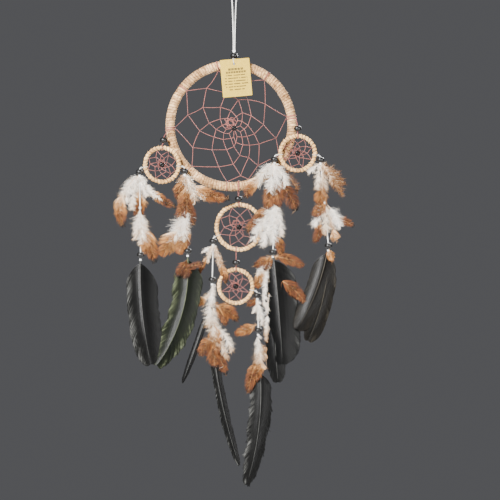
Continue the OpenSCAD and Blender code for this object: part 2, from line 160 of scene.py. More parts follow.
class Pile:
    """Points, faces and named point values of one piece, gathered before it is made."""

    def __init__(self):
        self.points, self.faces, self.smooth = [], [], []
        self.values, self.count = {}, 0

    def add(self, points, faces, smooth=True, **values):
        """points (n, 3) in mm; faces (k, 3) or (k, 4) arrays that count from 0."""
        points = np.asarray(points, float).reshape(-1, 3)
        for face in faces:
            self.faces.append(np.asarray(face) + self.count)
            self.smooth.append(np.full(len(face), smooth))
        self.points.append(points)
        for name in set(self.values) | set(values):
            column = self.values.setdefault(name, [])
            have = sum(len(c) for c in column)
            if have < self.count:
                column.append(np.zeros(self.count - have))
            column.append(np.broadcast_to(values.get(name, 0.0), len(points)).astype(float))
        self.count += len(points)

    def make(self, name, body, material, replaces=()):
        mesh = bpy.data.meshes.new(name)
        points = np.concatenate(self.points) * MM
        mesh.vertices.add(len(points))
        mesh.vertices.foreach_set("co", points.astype(np.float32).ravel())
        sizes = np.concatenate([np.full(len(f), f.shape[1]) for f in self.faces])
        corners = np.concatenate([f.ravel() for f in self.faces])
        mesh.loops.add(len(corners))
        mesh.loops.foreach_set("vertex_index", corners.astype(np.int32))
        mesh.polygons.add(len(sizes))
        starts = np.concatenate([[0], np.cumsum(sizes)[:-1]])
        mesh.polygons.foreach_set("loop_start", starts.astype(np.int32))
        mesh.polygons.foreach_set("use_smooth", np.concatenate(self.smooth))
        for label, column in self.values.items():
            attribute = mesh.attributes.new(label, "FLOAT", "POINT")
            attribute.data.foreach_set("value", np.concatenate(column).astype(np.float32))
        mesh.update(calc_edges=True)
        mesh.validate()
        piece = bpy.data.objects.new(name, mesh)
        bpy.context.collection.objects.link(piece)
        mesh.materials.append(material)
        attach(piece, body)
        if replaces:
            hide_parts(*replaces)
        return piece


def unit(v):
    return v / np.maximum(np.linalg.norm(v, axis=-1, keepdims=True), 1e-12)


def circle_points(steps):
    """Angles once round a circle, without its last point."""
    return np.linspace(0, 2 * math.pi, steps)[:-1]


def grid_faces(index):
    """The four-sided faces of a grid of point numbers."""
    return np.stack([index[:-1, :-1], index[1:, :-1], index[1:, 1:], index[:-1, 1:]], -1)


def smooth_route(points, step):
    """A Catmull-Rom curve through the points, with a point about every step mm."""
    points = np.asarray(points, float)
    ends = np.vstack([2 * points[0] - points[1], points, 2 * points[-1] - points[-2]])
    out = []
    for i in range(len(points) - 1):
        a, b, c, d = ends[i : i + 4]
        parts = max(1, int(math.ceil(np.linalg.norm(c - b) / step)))
        t = (np.arange(parts) / parts)[:, None]
        bends = (2 * a - 5 * b + 4 * c - d) * t**2
        out.append(0.5 * (2 * b + (c - a) * t + bends + (3 * b - a - 3 * c + d) * t**3))
    return np.vstack(out + [points[-1:]])


def frames(path, closed=False, hint=(0, 1, 0)):
    """Two unit vectors across the path at each point."""
    if closed:
        along = unit(np.roll(path, -1, 0) - np.roll(path, 1, 0))
    else:
        along = unit(np.gradient(path, axis=0))
    across = unit(np.cross(along, np.asarray(hint, float)))
    return across, np.cross(across, along)


def spokes(angle, across, other):
    """Unit vectors at each angle, in the plane of two others at each point."""
    return (np.cos(angle)[None, :, None] * across[:, None]
            + np.sin(angle)[None, :, None] * other[:, None])


def spread(values, times):
    """Gives each point of a group the value that was set once for the group."""
    return {k: np.repeat(v, times) if np.ndim(v) else v for k, v in values.items()}


def add_tube(pile, path, radius, sides=8, closed=False, hint=(0, 1, 0), **values):
    """A round tube along a path. radius may differ from point to point."""
    path = np.asarray(path, float)
    n = len(path)
    across, other = frames(path, closed, hint)
    angle = 2 * math.pi * np.arange(sides) / sides
    radius = np.broadcast_to(radius, n)
    ring = spokes(angle, across, other)
    points = path[:, None] + radius[:, None, None] * ring
    rows = np.arange(n if closed else n - 1)
    k = np.arange(sides)
    here, there = rows[:, None] * sides, ((rows + 1) % n)[:, None] * sides
    beside = (k + 1) % sides
    faces = [np.stack([here + k, here + beside, there + beside, there + k], -1).reshape(-1, 4)]
    if not closed:
        fan = np.arange(1, sides - 1)
        start = np.stack([np.zeros_like(fan), fan + 1, fan], -1)
        end = (n - 1) * sides + np.stack([np.zeros_like(fan), fan, fan + 1], -1)
        faces += [start, end]
    pile.add(points, faces, **spread(values, sides))


def add_twisted(pile, path, radius, plies=3, lay=4.0, sides=6):
    """A cord laid up from plies that wind round the path, one turn every lay mm."""
    across, other = frames(path)
    travel = np.concatenate([[0], np.cumsum(np.linalg.norm(np.diff(path, axis=0), axis=1))])
    ply_r = radius * (0.5 if plies == 3 else 0.52)
    for ply in range(plies):
        turn = 2 * math.pi * (travel / lay + ply / plies)
        offset = np.cos(turn)[:, None] * across + np.sin(turn)[:, None] * other
        add_tube(pile, path + (radius - ply_r) * offset, ply_r, sides)


def add_hairs(pile, roots, directions, lengths, width, **values):
    """Short tapered hairs: a three-sided needle each."""
    directions = unit(directions)
    across = unit(np.cross(directions, [0.31, 0.52, 0.79]))
    other = np.cross(directions, across)
    n = len(roots)
    angle = 2 * math.pi * np.arange(3) / 3
    base = roots[:, None] + width * spokes(angle, across, other)
    tip = (roots + directions * lengths[:, None])[:, None]
    points = np.concatenate([base, tip], 1).reshape(-1, 3)
    i = 4 * np.arange(n)[:, None]
    faces = np.concatenate([i + f for f in ([0, 1, 3], [1, 2, 3], [2, 0, 3], [0, 2, 1])])
    pile.add(points, [faces], **spread(values, 4))


def add_lathe(pile, centre, profile, steps=40, axis="z"):
    """A closed profile of (radius, height) pairs turned round an axis through centre."""
    profile = np.asarray(profile, float)
    m = len(profile)
    a = 2 * math.pi * np.arange(steps)[:, None] / steps
    x, y = np.cos(a) * profile[:, 0], np.sin(a) * profile[:, 0]
    z = np.broadcast_to(profile[:, 1], x.shape)
    points = np.stack([x, y, z] if axis == "z" else [x, z, y], -1)
    i, j = np.arange(steps)[:, None], np.arange(m)
    here, side, up = i * m, ((i + 1) % steps) * m, (j + 1) % m
    faces = np.stack([here + j, side + j, side + up, here + up], -1).reshape(-1, 4)
    pile.add(points.reshape(-1, 3) + centre, [faces if axis == "z" else faces[:, ::-1]])


# ---------------------------------------------------------------- materials


class Look:
    """A Principled material and short calls that add nodes to it."""

    def __init__(self, name, **sockets):
        self.material = bpy.data.materials.new(name)
        self.material.use_nodes = True
        self.tree = self.material.node_tree
        self.shader = self.tree.nodes["Principled BSDF"]
        for socket, value in sockets.items():
            self.shader.inputs[socket.replace("_", " ")].default_value = value

    def node(self, kind, **settings):
        made = self.tree.nodes.new(kind)
        for name, value in settings.items():
            setattr(made, name, value)
        return made

    def link(self, output, node, socket):
        self.tree.links.new(output, node.inputs[socket])

    def place(self):
        return self.node("ShaderNodeTexCoord").outputs["Object"]

    def attribute(self, name):
        return self.node("ShaderNodeAttribute", attribute_name=name).outputs["Fac"]

    def stretched(self, scale):
        mapping = self.node("ShaderNodeMapping")
        mapping.inputs["Scale"].default_value = scale
        self.link(self.place(), mapping, "Vector")
        return mapping.outputs["Vector"]

    def noise(self, scale, detail=4, rough=0.55, vector=None):
        made = self.node("ShaderNodeTexNoise")
        made.inputs["Scale"].default_value = scale
        made.inputs["Detail"].default_value = detail
        made.inputs["Roughness"].default_value = rough
        self.link(vector or self.place(), made, "Vector")
        return made.outputs["Fac"]

    def math(self, operation, a, b):
        made = self.node("ShaderNodeMath", operation=operation)
        for i, value in enumerate((a, b)):
            if isinstance(value, (int, float)):
                made.inputs[i].default_value = value
            else:
                self.tree.links.new(value, made.inputs[i])
        return made.outputs["Value"]

    def ramp(self, factor, stops):
        made = self.node("ShaderNodeValToRGB")
        band = made.color_ramp
        while len(band.elements) < len(stops):
            band.elements.new(0.5)
        for element, (at, colour) in zip(band.elements, stops):
            element.position = at
            element.color = (*colour, 1)
        self.link(factor, made, "Fac")
        return made.outputs["Color"]

    def mix(self, factor, a, b, blend="MIX"):
        made = self.node("ShaderNodeMix", data_type="RGBA", blend_type=blend)
        inputs = [s for s in made.inputs if s.enabled]
        for socket, value in zip(inputs, (factor, a, b)):
            if isinstance(value, (int, float)):
                socket.default_value = value
            elif isinstance(value, tuple):
                socket.default_value = (*value, 1)
            else:
                self.tree.links.new(value, socket)
        return next(s for s in made.outputs if s.enabled)

    def colour(self, output):
        self.link(output, self.shader, "Base Color")

    def roughness(self, factor, low, high):
        spread = self.node("ShaderNodeMapRange")
        spread.inputs["To Min"].default_value = low
        spread.inputs["To Max"].default_value = high
        self.link(factor, spread, "Value")
        self.link(spread.outputs["Result"], self.shader, "Roughness")

    def bump(self, height, distance, strength=1.0):
        made = self.node("ShaderNodeBump")
        made.inputs["Distance"].default_value = distance
        made.inputs["Strength"].default_value = strength
        self.link(height, made, "Height")
        self.link(made.outputs["Normal"], self.shader, "Normal")


def lace_look(name, tones, speckle):
    """Suede: a nap of fine fibres, stained in patches and a little in every turn, with painted
    shade in the crease where each turn laps over the next.
    """
    look = Look(name, Specular_IOR_Level=0.1, Sheen_Weight=0.08, Sheen_Roughness=0.5)
    patches = look.noise(55, 4, 0.6)
    turns = look.attribute("turn")
    fine = look.noise(1300, 5, 0.75)
    flecks = look.noise(310, 4, 0.75)
    mixed = look.math("MULTIPLY", patches, 0.7)
    mixed = look.math("ADD", mixed, look.math("MULTIPLY", turns, 0.3))
    at = (0.30, 0.44, 0.58, 0.76)
    base = look.ramp(mixed, list(zip(at, tones)))
    spots = look.ramp(flecks, [(0.38, (0.50, 0.40, 0.33)), (0.50, (0.95, 0.92, 0.90)),
                               (0.63, (1.4, 1.38, 1.34))])
    spotted = look.mix(speckle, base, spots, "MULTIPLY")
    # Painted shade: a low ridge value darkens the crease where one turn of lace laps over the
    # next.
    shade = look.ramp(look.attribute("ridge"), [(0.25, (0.30, 0.20, 0.14)), (0.75, (1, 1, 1))])
    crease_shaded = look.mix(0.9, spotted, shade, "MULTIPLY")
    nap = look.ramp(fine, [(0.3, (0.78, 0.75, 0.72)), (0.7, (1, 1, 1))])
    look.colour(look.mix(0.7, crease_shaded, nap, "MULTIPLY"))
    look.roughness(fine, 0.78, 0.98)
    look.bump(look.math("ADD", fine, flecks), 0.0006, 0.8)
    return look.material


def thread_look(name, dark, light):
    look = Look(name, Specular_IOR_Level=0.4, Sheen_Weight=0.1)
    strand = look.noise(2600, 3, 0.6)
    length = look.noise(120, 3)
    tone = look.ramp(length, [(0.3, dark), (0.7, light)])
    fibre = look.ramp(strand, [(0.3, (0.6, 0.6, 0.6)), (0.7, (1, 1, 1))])
    look.colour(look.mix(0.7, tone, fibre, "MULTIPLY"))
    look.roughness(strand, 0.45, 0.75)
    look.bump(strand, 0.00015, 0.6)
    return look.material


def bead_look(name, dark, worn_tone, specular=0.3):
    look = Look(name, Specular_IOR_Level=specular, Coat_Weight=0.08, Coat_Roughness=0.25)
    grain = look.noise(160, 5, 0.6, look.stretched((1, 1, 5)))
    wear = look.noise(420, 4)
    tone = look.ramp(grain, [(0.35, dark), (0.75, tuple(c * 1.9 for c in dark))])
    scuffs = look.ramp(wear, [(0.66, (0, 0, 0)), (0.74, (1, 1, 1))])
    look.colour(look.mix(scuffs, tone, worn_tone))
    look.roughness(wear, 0.32, 0.5)
    look.bump(grain, 0.0001, 0.4)
    return look.material


def card_look():
    look = Look("tag_card", Specular_IOR_Level=0.25)
    pulp = look.noise(380, 6, 0.7)
    fibres = look.noise(1500, 2, 0.5, look.stretched((1, 1, 6)))
    board = look.ramp(pulp, [(0.3, (0.35, 0.235, 0.020)), (0.7, (0.43, 0.295, 0.035))])
    flecks = look.ramp(fibres, [(0.32, (0.70, 0.60, 0.45)), (0.42, (1, 1, 1))])
    plain = look.mix(0.7, board, flecks, "MULTIPLY")
    ink = look.attribute("ink")
    look.colour(look.mix(ink, plain, (0.030, 0.016, 0.006)))
    look.roughness(pulp, 0.65, 0.85)
    look.bump(pulp, 0.0002, 0.3)
    return look.material


def down_look():
    """Small feathers: white down that turns tan, rust, brown and black along pigment, darkened
    barb by barb as painted shade.
    """
    look = Look("soft_feather", Specular_IOR_Level=0.15, Sheen_Weight=0.05, Sheen_Roughness=0.4)
    blotch = look.noise(260, 3)
    shift = look.math("MULTIPLY", look.math("SUBTRACT", blotch, 0.5), 0.20)
    pigment = look.math("ADD", look.attribute("pigment"), shift)
    tone = look.ramp(
        pigment,
        [(0.0, (0.90, 0.86, 0.80)), (0.14, (0.74, 0.58, 0.41)), (0.28, (0.40, 0.21, 0.080)),
         (0.42, (0.21, 0.083, 0.016)), (0.54, (0.115, 0.036, 0.007)),
         (0.66, (0.060, 0.017, 0.005)), (0.80, (0.020, 0.008, 0.004)),
         (0.92, (0.003, 0.0028, 0.0026))],
    )
    # Painted shade: each barb's random barb value darkens it, standing in for the down's
    # self-shadow.
    painted_barb_shade = look.ramp(look.attribute("barb"), [(0.0, (0.42, 0.40, 0.38)), (0.7, (1, 1, 1))])
    look.colour(look.mix(0.8, tone, painted_barb_shade, "MULTIPLY"))
    look.roughness(blotch, 0.5, 0.75)
    return look.material


def plume_look(name, dark, light, glint):
    """Long dark feathers with painted highlights: pale or green glints in streaks, painted into
    the colour, each barb carrying its own share of them.
    """
    look = Look(name, Specular_IOR_Level=0.08)
    streak = look.noise(230, 5, 0.7)
    # Painted highlight: shine times barb, broken into streaks, lifts the colour towards the
    # glint tone.
    lit = look.math("MULTIPLY", look.attribute("shine"), look.attribute("barb"))
    mixed = look.math("MULTIPLY", lit, look.math("ADD", streak, 0.35))
    look.colour(look.ramp(mixed, [(0.02, dark), (0.30, light), (0.72, glint)]))
    look.roughness(streak, 0.26, 0.44)
    return look.material


def plain_look(name, scale, detail, dark, light, rough, **sockets):
    """A surface whose tone and roughness follow one noise."""
    look = Look(name, **sockets)
    cloud = look.noise(scale, detail)
    look.colour(look.ramp(cloud, [(0.3, dark), (0.7, light)]))
    look.roughness(cloud, *rough)
    return look.material


def wood_look():
    look = Look("hoop_wood", Specular_IOR_Level=0.3)
    grain = look.noise(60, 6, 0.6, look.stretched((1, 1, 4)))
    look.colour(look.ramp(grain, [(0.3, (0.36, 0.22, 0.11)), (0.7, (0.6, 0.42, 0.24))]))
    look.roughness(grain, 0.6, 0.85)
    look.bump(grain, 0.0003, 0.5)
    return look.material


HOOP_LACE = lace_look(
    "hoop_lace",
    [(0.26, 0.15, 0.066), (0.39, 0.24, 0.112), (0.52, 0.335, 0.17), (0.72, 0.50, 0.285)], 1.0)
RING_LACE = lace_look(
    "ring_lace",
    [(0.42, 0.235, 0.088), (0.53, 0.325, 0.130), (0.64, 0.415, 0.18), (0.78, 0.53, 0.26)], 0.7)
RED = thread_look("red_thread", (0.15, 0.036, 0.027), (0.33, 0.098, 0.072))
# A darker copy of the red thread: painted shade for the small rings' nets.
SHADED_RED = thread_look("shaded_red_thread", (0.085, 0.017, 0.012), (0.24, 0.060, 0.042))
COTTON = thread_look("white_cord", (0.50, 0.49, 0.46), (0.82, 0.81, 0.78))
BLACK_BEAD = bead_look("black_bead", (0.0030, 0.0028, 0.0028), (0.014, 0.009, 0.006))
WEB_BEAD = bead_look("web_bead", (0.0016, 0.0012, 0.0010), (0.012, 0.006, 0.004), 0.12)
CARD = card_look()
DOWN = down_look()
BLACK = plume_look("black_feather", (0.0010, 0.0010, 0.0010), (0.0045, 0.0045, 0.0042),
                   (0.070, 0.070, 0.066))
BROWN_BLACK = plume_look("brown_black_feather", (0.0013, 0.0011, 0.0009),
                         (0.0066, 0.0055, 0.0040), (0.050, 0.044, 0.033))
# The green is a painted sheen: nearly black barbs with green glints.
GREEN_SHEEN_PLUME = plume_look("green_sheen_feather", (0.0010, 0.0015, 0.0010), (0.0055, 0.0068, 0.0034),
                   (0.085, 0.096, 0.055))
METAL = plain_look("ring_wire", 900, 3, (0.42, 0.42, 0.42), (0.6, 0.6, 0.6), (0.25, 0.45),
                   Metallic=1.0)
PALE = plain_look("pale_floor", 6, 2, (0.72, 0.72, 0.71), (0.76, 0.76, 0.75), (0.6, 0.8),
                  Specular_IOR_Level=0.2)
WOOD = wood_look()


# ---------------------------------------------------------------- cords

# One side of the hanging loop, x and z from its ends up to its top
LOOP_SIDE = [
    (0.75, -71), (0.78, -66), (0.85, -60), (0.95, -54), (1.1, -48), (1.3, -40),
    (1.55, -32), (1.8, -24), (2.05, -17), (2.3, -12), (2.5, -9), (2.9, -6.2), (3.2, -4),
    (3.3, -2.4), (2.9, -0.8), (1.7, 0.35),
]
# How far a strand's tie is above its upper bead, and in towards the ring
KNOT_UP, KNOT_IN = 5.3, 1.8


def cord_piece(name, route, radius, body, turn):
    """A free cord along its route, with a few loose fibres. Turn is the length in which its
    plies go round once."""
    path = smooth_route(route, 0.45)
    pile = Pile()
    add_twisted(pile, path, radius, 3, turn, 6)
    loose = random.integers(1, len(path) - 1, 5 * len(route))
    away = unit(random.normal(size=(len(loose), 3)))
    roots = path[loose] + away * radius * 0.6
    add_hairs(pile, roots, away, random.uniform(0.4, 1.1, len(loose)), 0.03)
    piece = pile.make(name, body, COTTON, (name[:-5],))


def hanging_loop():
    left = [(-x, 0, z) for x, z in LOOP_SIDE]
    right = [(x, 0, z) for x, z in reversed(LOOP_SIDE)]
    route = left + [(0, 0, LOOP_CORD_R)] + right
    cord_piece("hang_loop_laid", route, LOOP_CORD_R, "hanging_loop",
               LOOP_CORD_LAY)


def strand_route(key):
    up, low, side = UP[key], LOW[key], STRANDS[key][3]
    bend = low - up
    tie = [up + [side * KNOT_IN, 0, KNOT_UP], up + [side * 0.6, 0, 4.2], up + [0, 0, 2.6], up]
    run = [up + share * bend for share in (0.2, 0.4, 0.6, 0.8)]
    return tie + run + [low, low - [0, 0, BEAD_H / 2]]


def strand_cords():
    for key in STRANDS:
        route = strand_route(key)
        cord_piece(f"{key}_cord_laid", route, CORD_R, f"{key}_strand",
                   CORD_LAY)


# ---------------------------------------------------------------- hoop and rings


def ring_point(centre, radius, angle, front=0.0):
    """A point on a ring that faces the front. angle in radians, anticlockwise from +x."""
    out = np.stack([np.cos(angle), 0 * angle, np.sin(angle)], -1)
    return centre + radius * out + np.array([0, -front, 0])


# Stations over the width of one turn of lace: its raised edge first, close together
LACE_STATIONS = np.array([0, 0.035, 0.09, 0.20, 0.34, 0.50, 0.66, 0.82, 0.95])
# The lace on the hoop and on the small rings: width of a turn, sides of the tube, how far
# a turn's edge stands up, stray fibres
HOOP_TURNS, RING_TURNS = (3.3, 30, 0.32, 1500), (4.1, 24, 1.25, 520)


def lace_piece(name, centre, ring_r, tube_r, body, winding, look):
    """Suede lace wound round a ring, each turn lapped over the one before it. The rows of
    points follow the lace, so its edges stay sharp."""
    pitch, sides, lift, hairs = winding
    turns = int(round(2 * math.pi * ring_r / pitch))
    m = len(LACE_STATIONS)
    steps = turns * m
    i, j = np.arange(steps), np.arange(sides)
    turn, place = (i // m)[:, None], LACE_STATIONS[i % m][:, None]
    lap = turn + j[None, :] / sides

    def drift(size, knots=4):
        """Smooth random values along the lace, the same after the last turn as at first."""
        table = random.uniform(-size, size, turns * knots)
        n = turns * knots
        return lambda at: np.interp(at * knots, np.arange(n), table, period=n)

    edge, thick, shade = drift(0.14), drift(0.30), drift(0.5, 1)
    shift = edge(lap) * (1 - place) + edge(lap + 1) * place
    around = 2 * math.pi * (lap + place + shift) / turns
    across = (2 * math.pi * j / sides)[None, :] + 0 * around
    fall = 1 - 0.78 * place**0.8
    lip = np.where(place < 0.02, 0.62, 1.0) + 0 * lap
    radius = tube_r - lift + lift * fall * lip * (1 + thick(lap))
    out = np.stack([np.cos(around), 0 * around, np.sin(around)], -1)
    tube = np.cos(across)[..., None] * out + np.sin(across)[..., None] * AWAY
    points = centre + ring_r * out + radius[..., None] * tube
    index = np.arange(steps * sides).reshape(steps, sides)
    beside = np.concatenate([index[:, 1:], np.roll(index[:, :1], -m, 0)], 1)
    ahead = np.roll(beside, -1, 0)
    faces = np.stack([index, beside, ahead, np.roll(index, -1, 0)], -1).reshape(-1, 4)
    pile = Pile()
    # Painted shade in the crease: each turn's lip and the edge tucked under it get a low ridge
    # value, which the lace look darkens.
    crease_shade = np.where(place > 0.8, 0.35, np.where(place < 0.02, 0.3, 1.0)) + 0 * lap
    pile.add(points, [faces], ridge=crease_shade.ravel(), turn=(0.5 + shade(lap)).ravel())
    flat = points.reshape(-1, 3)
    chosen = random.integers(0, len(flat), hairs)
    hub = centre + ring_r * out.reshape(-1, 3)[chosen]
    outward = unit(flat[chosen] - hub)
    way = unit(outward + 0.8 * random.normal(size=outward.shape))
    add_hairs(pile, flat[chosen] - 0.05 * outward, way,
              random.uniform(0.3, 1.2, hairs), 0.05, ridge=1.0, turn=0.9)
    pile.make(name, body, look, (name.replace("_lace", "_wrap"),))


def thread_loop(pile, centre, ring_r, tube_r, degrees, wraps=2, thread=LASHING):
    """A few turns of thread round a ring's tube at an angle."""
    angle = math.radians(degrees)
    out = np.array([math.cos(angle), 0, math.sin(angle)])
    along = np.array([-math.sin(angle), 0, math.cos(angle)])
    hub = centre + ring_r * out
    t = np.linspace(0, 1, 20 * wraps + 1)
    turn = 2 * math.pi * wraps * t + random.uniform(2.6, 3.6)
    drift = (t - 0.5) * (wraps - 1) * random.uniform(2.0, 2.8) * thread
    circle = np.cos(turn)[:, None] * out + np.sin(turn)[:, None] * AWAY
    add_tube(pile, hub + (tube_r + thread * 0.6) * circle + drift[:, None] * along, thread, 6,
             hint=along)


# Degrees at which the nets are tied, and how far each row of a net is drawn in
HOOP_ANGLES = [9, 54, 103, 142, 182, 226, 266, 288, 328]
HOOP_PULL = [0.83, 0.78, 0.76, 0.74, 0.72, 0.70]
# Ties past this angle have one turn of thread, and the side rings hang from these two
SHORT_TIES_FROM = 200
RING_HOOK_ANGLES = (184, 6.5)
RING_ANGLES = [20 + 45 * i for i in range(8)]
RING_PULL = [0.72, 0.66, 0.62, 0.72]


def web_rows(first, hub, pulls, jitter):
    """A net's rows of knots, each between the knots of the row before and nearer the hub."""
    rows = [np.asarray(first)]
    for pull in pulls:
        row = rows[-1]
        made = hub + pull * ((row + np.roll(row, -1, 0)) / 2 - hub)
        size = jitter * np.linalg.norm(made - hub, axis=1, keepdims=True)
        rows.append(made + random.normal(0, 1, made.shape) * size * [1, 0.15, 1])
    return rows


def add_knot(pile, spot, ray, thread):
    """A half hitch: a small ring of thread that grips the loop it hangs from."""
    t = circle_points(9)
    sideways = np.cross(ray, AWAY)
    circle = np.cos(t)[:, None] * sideways + np.sin(t)[:, None] * AWAY
    ring = spot + 1.5 * thread * circle
    add_tube(pile, ring + 0.4 * thread * ray, 0.66 * thread, 5, True, hint=ray)


def add_tangle(pile, hub, size, thread, turns):
    """The thread's last loose turns, bunched up beside the bead."""
    t = np.linspace(0, turns, 7 * turns, endpoint=False)
    reach = size * random.uniform(0.35, 1.0, len(t))
    angle = 2 * math.pi * t + random.normal(0, 0.5, len(t))
    depth = random.uniform(-0.9, 0.9, len(t))
    points = hub + np.stack([reach * np.cos(angle), depth, 0.8 * reach * np.sin(angle)], -1)
    add_tube(pile, smooth_route(points, 0.8), thread, 5)


def web_piece(name, centre, hub, reach, degrees, pulls, body, thread, jitter):
    """A net of one looped thread: every row hangs from the middles of the row before."""
    angles = np.radians(np.asarray(degrees, float))
    first = ring_point(centre, reach, angles, centre[1] - hub[1])
    rows = web_rows(first, hub, pulls, jitter)
    pile = Pile()
    n = len(degrees)
    for r in range(len(pulls)):
        stops = []
        for i in range(n):
            over = np.array([0, -0.35 * thread if (r + i) % 2 else 0.35 * thread, 0])
            stops += [rows[r][i] + over, rows[r + 1][i] - over]
        path = []
        for a, b in zip(stops, stops[1:] + stops[:1]):
            t = np.linspace(0, 1, 7)[:-1, None]
            bow = unit(np.cross(b - a, AWAY)) * np.linalg.norm(b - a)
            path.append(a + t * (b - a) + 4 * t * (1 - t) * bow * random.normal(0, 0.014))
        add_tube(pile, np.vstack(path), thread, 6, closed=True)
        for knot in rows[r + 1]:
            add_knot(pile, knot, unit(hub - knot), thread)
    for knot in rows[-1]:
        add_tube(pile, np.linspace(knot, hub + 2.2 * unit(knot - hub), 4), thread, 6)
    large = name == "hoop_net"
    size = (0.13 if large else 0.30) * reach
    shift = np.array([-0.55, 0, 0.75] if large else [-0.3, 0, 0.5])
    add_tangle(pile, hub + size * shift, size, 0.8 * thread, 5 if large else 3)
    # The small rings' nets take the darker copy of the red thread, as painted shade.
    look = RED if large else SHADED_RED
    pile.make(name, body, look, (name.replace("_net", "_web"),))


def bead_profile(radius, height, bore):
    """A turned bead's closed outline: bore wall, eased edges and a full round side."""
    half = height / 2
    outline = [(bore, half * 0.80), (bore + 0.25, half * 0.95), (bore + 0.7, half)]
    for degrees in range(72, -73, -12):
        a = math.radians(degrees)
        outline.append((radius - half * 0.92 * (1 - math.cos(a)), half * math.sin(a)))
    outline += [(bore + 0.7, -half), (bore + 0.25, -half * 0.95), (bore, -half * 0.80)]
    return outline[::-1]


def bead_piece(name, places, body, replaces):
    pile = Pile()
    for place in places:
        add_lathe(pile, place, bead_profile(BEAD_R, BEAD_H, BEAD_BORE))
    pile.make(name, body, BLACK_BEAD, replaces)


def web_bead_piece(name, place, body, replaces):
    pile = Pile()
    add_lathe(pile, place, bead_profile(WEB_BEAD_R, WEB_BEAD_H, WEB_BEAD_BORE), 32, "y")
    pile.make(name, body, WEB_BEAD, replaces)


def main_hoop():
    lace_piece("hoop_lace", HOOP, HOOP_R, HOOP_TUBE, "hoop", HOOP_TURNS, HOOP_LACE)
    reach = HOOP_R - HOOP_TUBE + 0.1
    web_piece("hoop_net", HOOP, WEB_MIDDLE, reach, HOOP_ANGLES, HOOP_PULL, "hoop",
              HOOP_NET_THREAD, 0.05)
    web_bead_piece("hoop_middle_bead", WEB_MIDDLE, "hoop", ("hoop_web_bead",))
    pile = Pile()
    for degrees in HOOP_ANGLES:
        wraps = 1 if degrees > SHORT_TIES_FROM else 2
        thread_loop(pile, HOOP, HOOP_R, HOOP_TUBE, degrees, wraps)
    for degrees in RING_HOOK_ANGLES:
        thread_loop(pile, HOOP, HOOP_R, HOOP_TUBE, degrees, 2)
    pile.make("hoop_bindings", "hoop", RED, ("hoop_lashings",))


def knot_angle(key):
    """Where on its ring a strand is tied, in degrees."""
    ring, up, side = STRANDS[key][0], UP[key], STRANDS[key][3]
    return math.degrees(math.atan2(up[2] + KNOT_UP - ring[2], up[0] + side * KNOT_IN - ring[0]))


def add_fray(pile, spot, way, count, length):
    """The cut end of a cotton cord, opened into its fibres."""
    away = unit(unit(np.asarray(way, float)) + 0.4 * random.normal(size=(count, 3)))
    roots = spot + random.normal(0, 0.25, (count, 3))
    add_hairs(pile, roots, away, length * random.uniform(0.5, 1, count), 0.10)


def cord_ties(name, keys):
    """White cord round the ring where each strand hangs, with its knot and frayed end."""
    centre, radius = RINGS[name], RING_R[name]
    pile = Pile()
    for key in keys:
        degrees = knot_angle(key)
        thread_loop(pile, centre, radius, RING_TUBE, degrees, 1, 0.28)
        angle = math.radians(degrees)
        outer = ring_point(centre, radius + RING_TUBE + 0.9, np.array(angle))
        add_tube(pile, knot_curve(outer, 0.6, 0.5), 0.36, 6, True, hint=(0.2, 0.1, 1))
        add_tube(pile, np.linspace(outer, strand_route(key)[0], 4), 0.5, 6)
        way = [math.cos(angle), -0.3, 0.6 + math.sin(angle)]
        add_fray(pile, outer, way, 14, 3.4)
    pile.make(f"{name}_cord_ties", f"{name}_ring", COTTON)


def small_rings():
    for name, centre in RINGS.items():
        radius, body = RING_R[name], f"{name}_ring"
        lace_piece(f"{name}_lace", centre, radius, RING_TUBE, body, RING_TURNS, RING_LACE)
        reach = radius - RING_TUBE + 0.2
        web_piece(f"{name}_net", centre, centre, reach, RING_ANGLES, RING_PULL, body,
                  RING_NET_THREAD, 0.12)
        bead_piece(f"{name}_hung_bead", [RING_BEAD[name]], body, (f"{name}_beads",))
        web_bead_piece(f"{name}_middle_bead", centre, body, (f"{name}_beads",))
    for name, keys in (("left", "ab"), ("right", "de"), ("upper", "c"), ("lower", "f")):
        cord_ties(name, keys)


# Where the side rings' threads leave the hoop
HOOKS = {
    "left": np.array([-80, -7.6, HOOP[2] - 5.3]),
    "right": np.array([75.5, -7.6, HOOP[2] + 8.2]),
}


def side_ring_threads():
    for name in HOOKS:
        hung, centre = RING_BEAD[name], RINGS[name]
        pile = Pile()
        thread_loop(pile, centre, RING_R[name], RING_TUBE, 90, 2)
        top = centre + [0, 0, RING_R[name] + RING_TUBE + 0.6]
        route = [HOOKS[name], (HOOKS[name] + hung) / 2 + [0, -0.5, 2], hung + [0, 0, 3],
                 hung - [0, 0, 2.5], top]
        path = smooth_route(route, 0.6)
        add_twisted(pile, path, 0.62, 2, THREAD_LAY)
        pile.make(f"{name}_threads", f"{name}_ring", RED, (f"{name}_ties",))


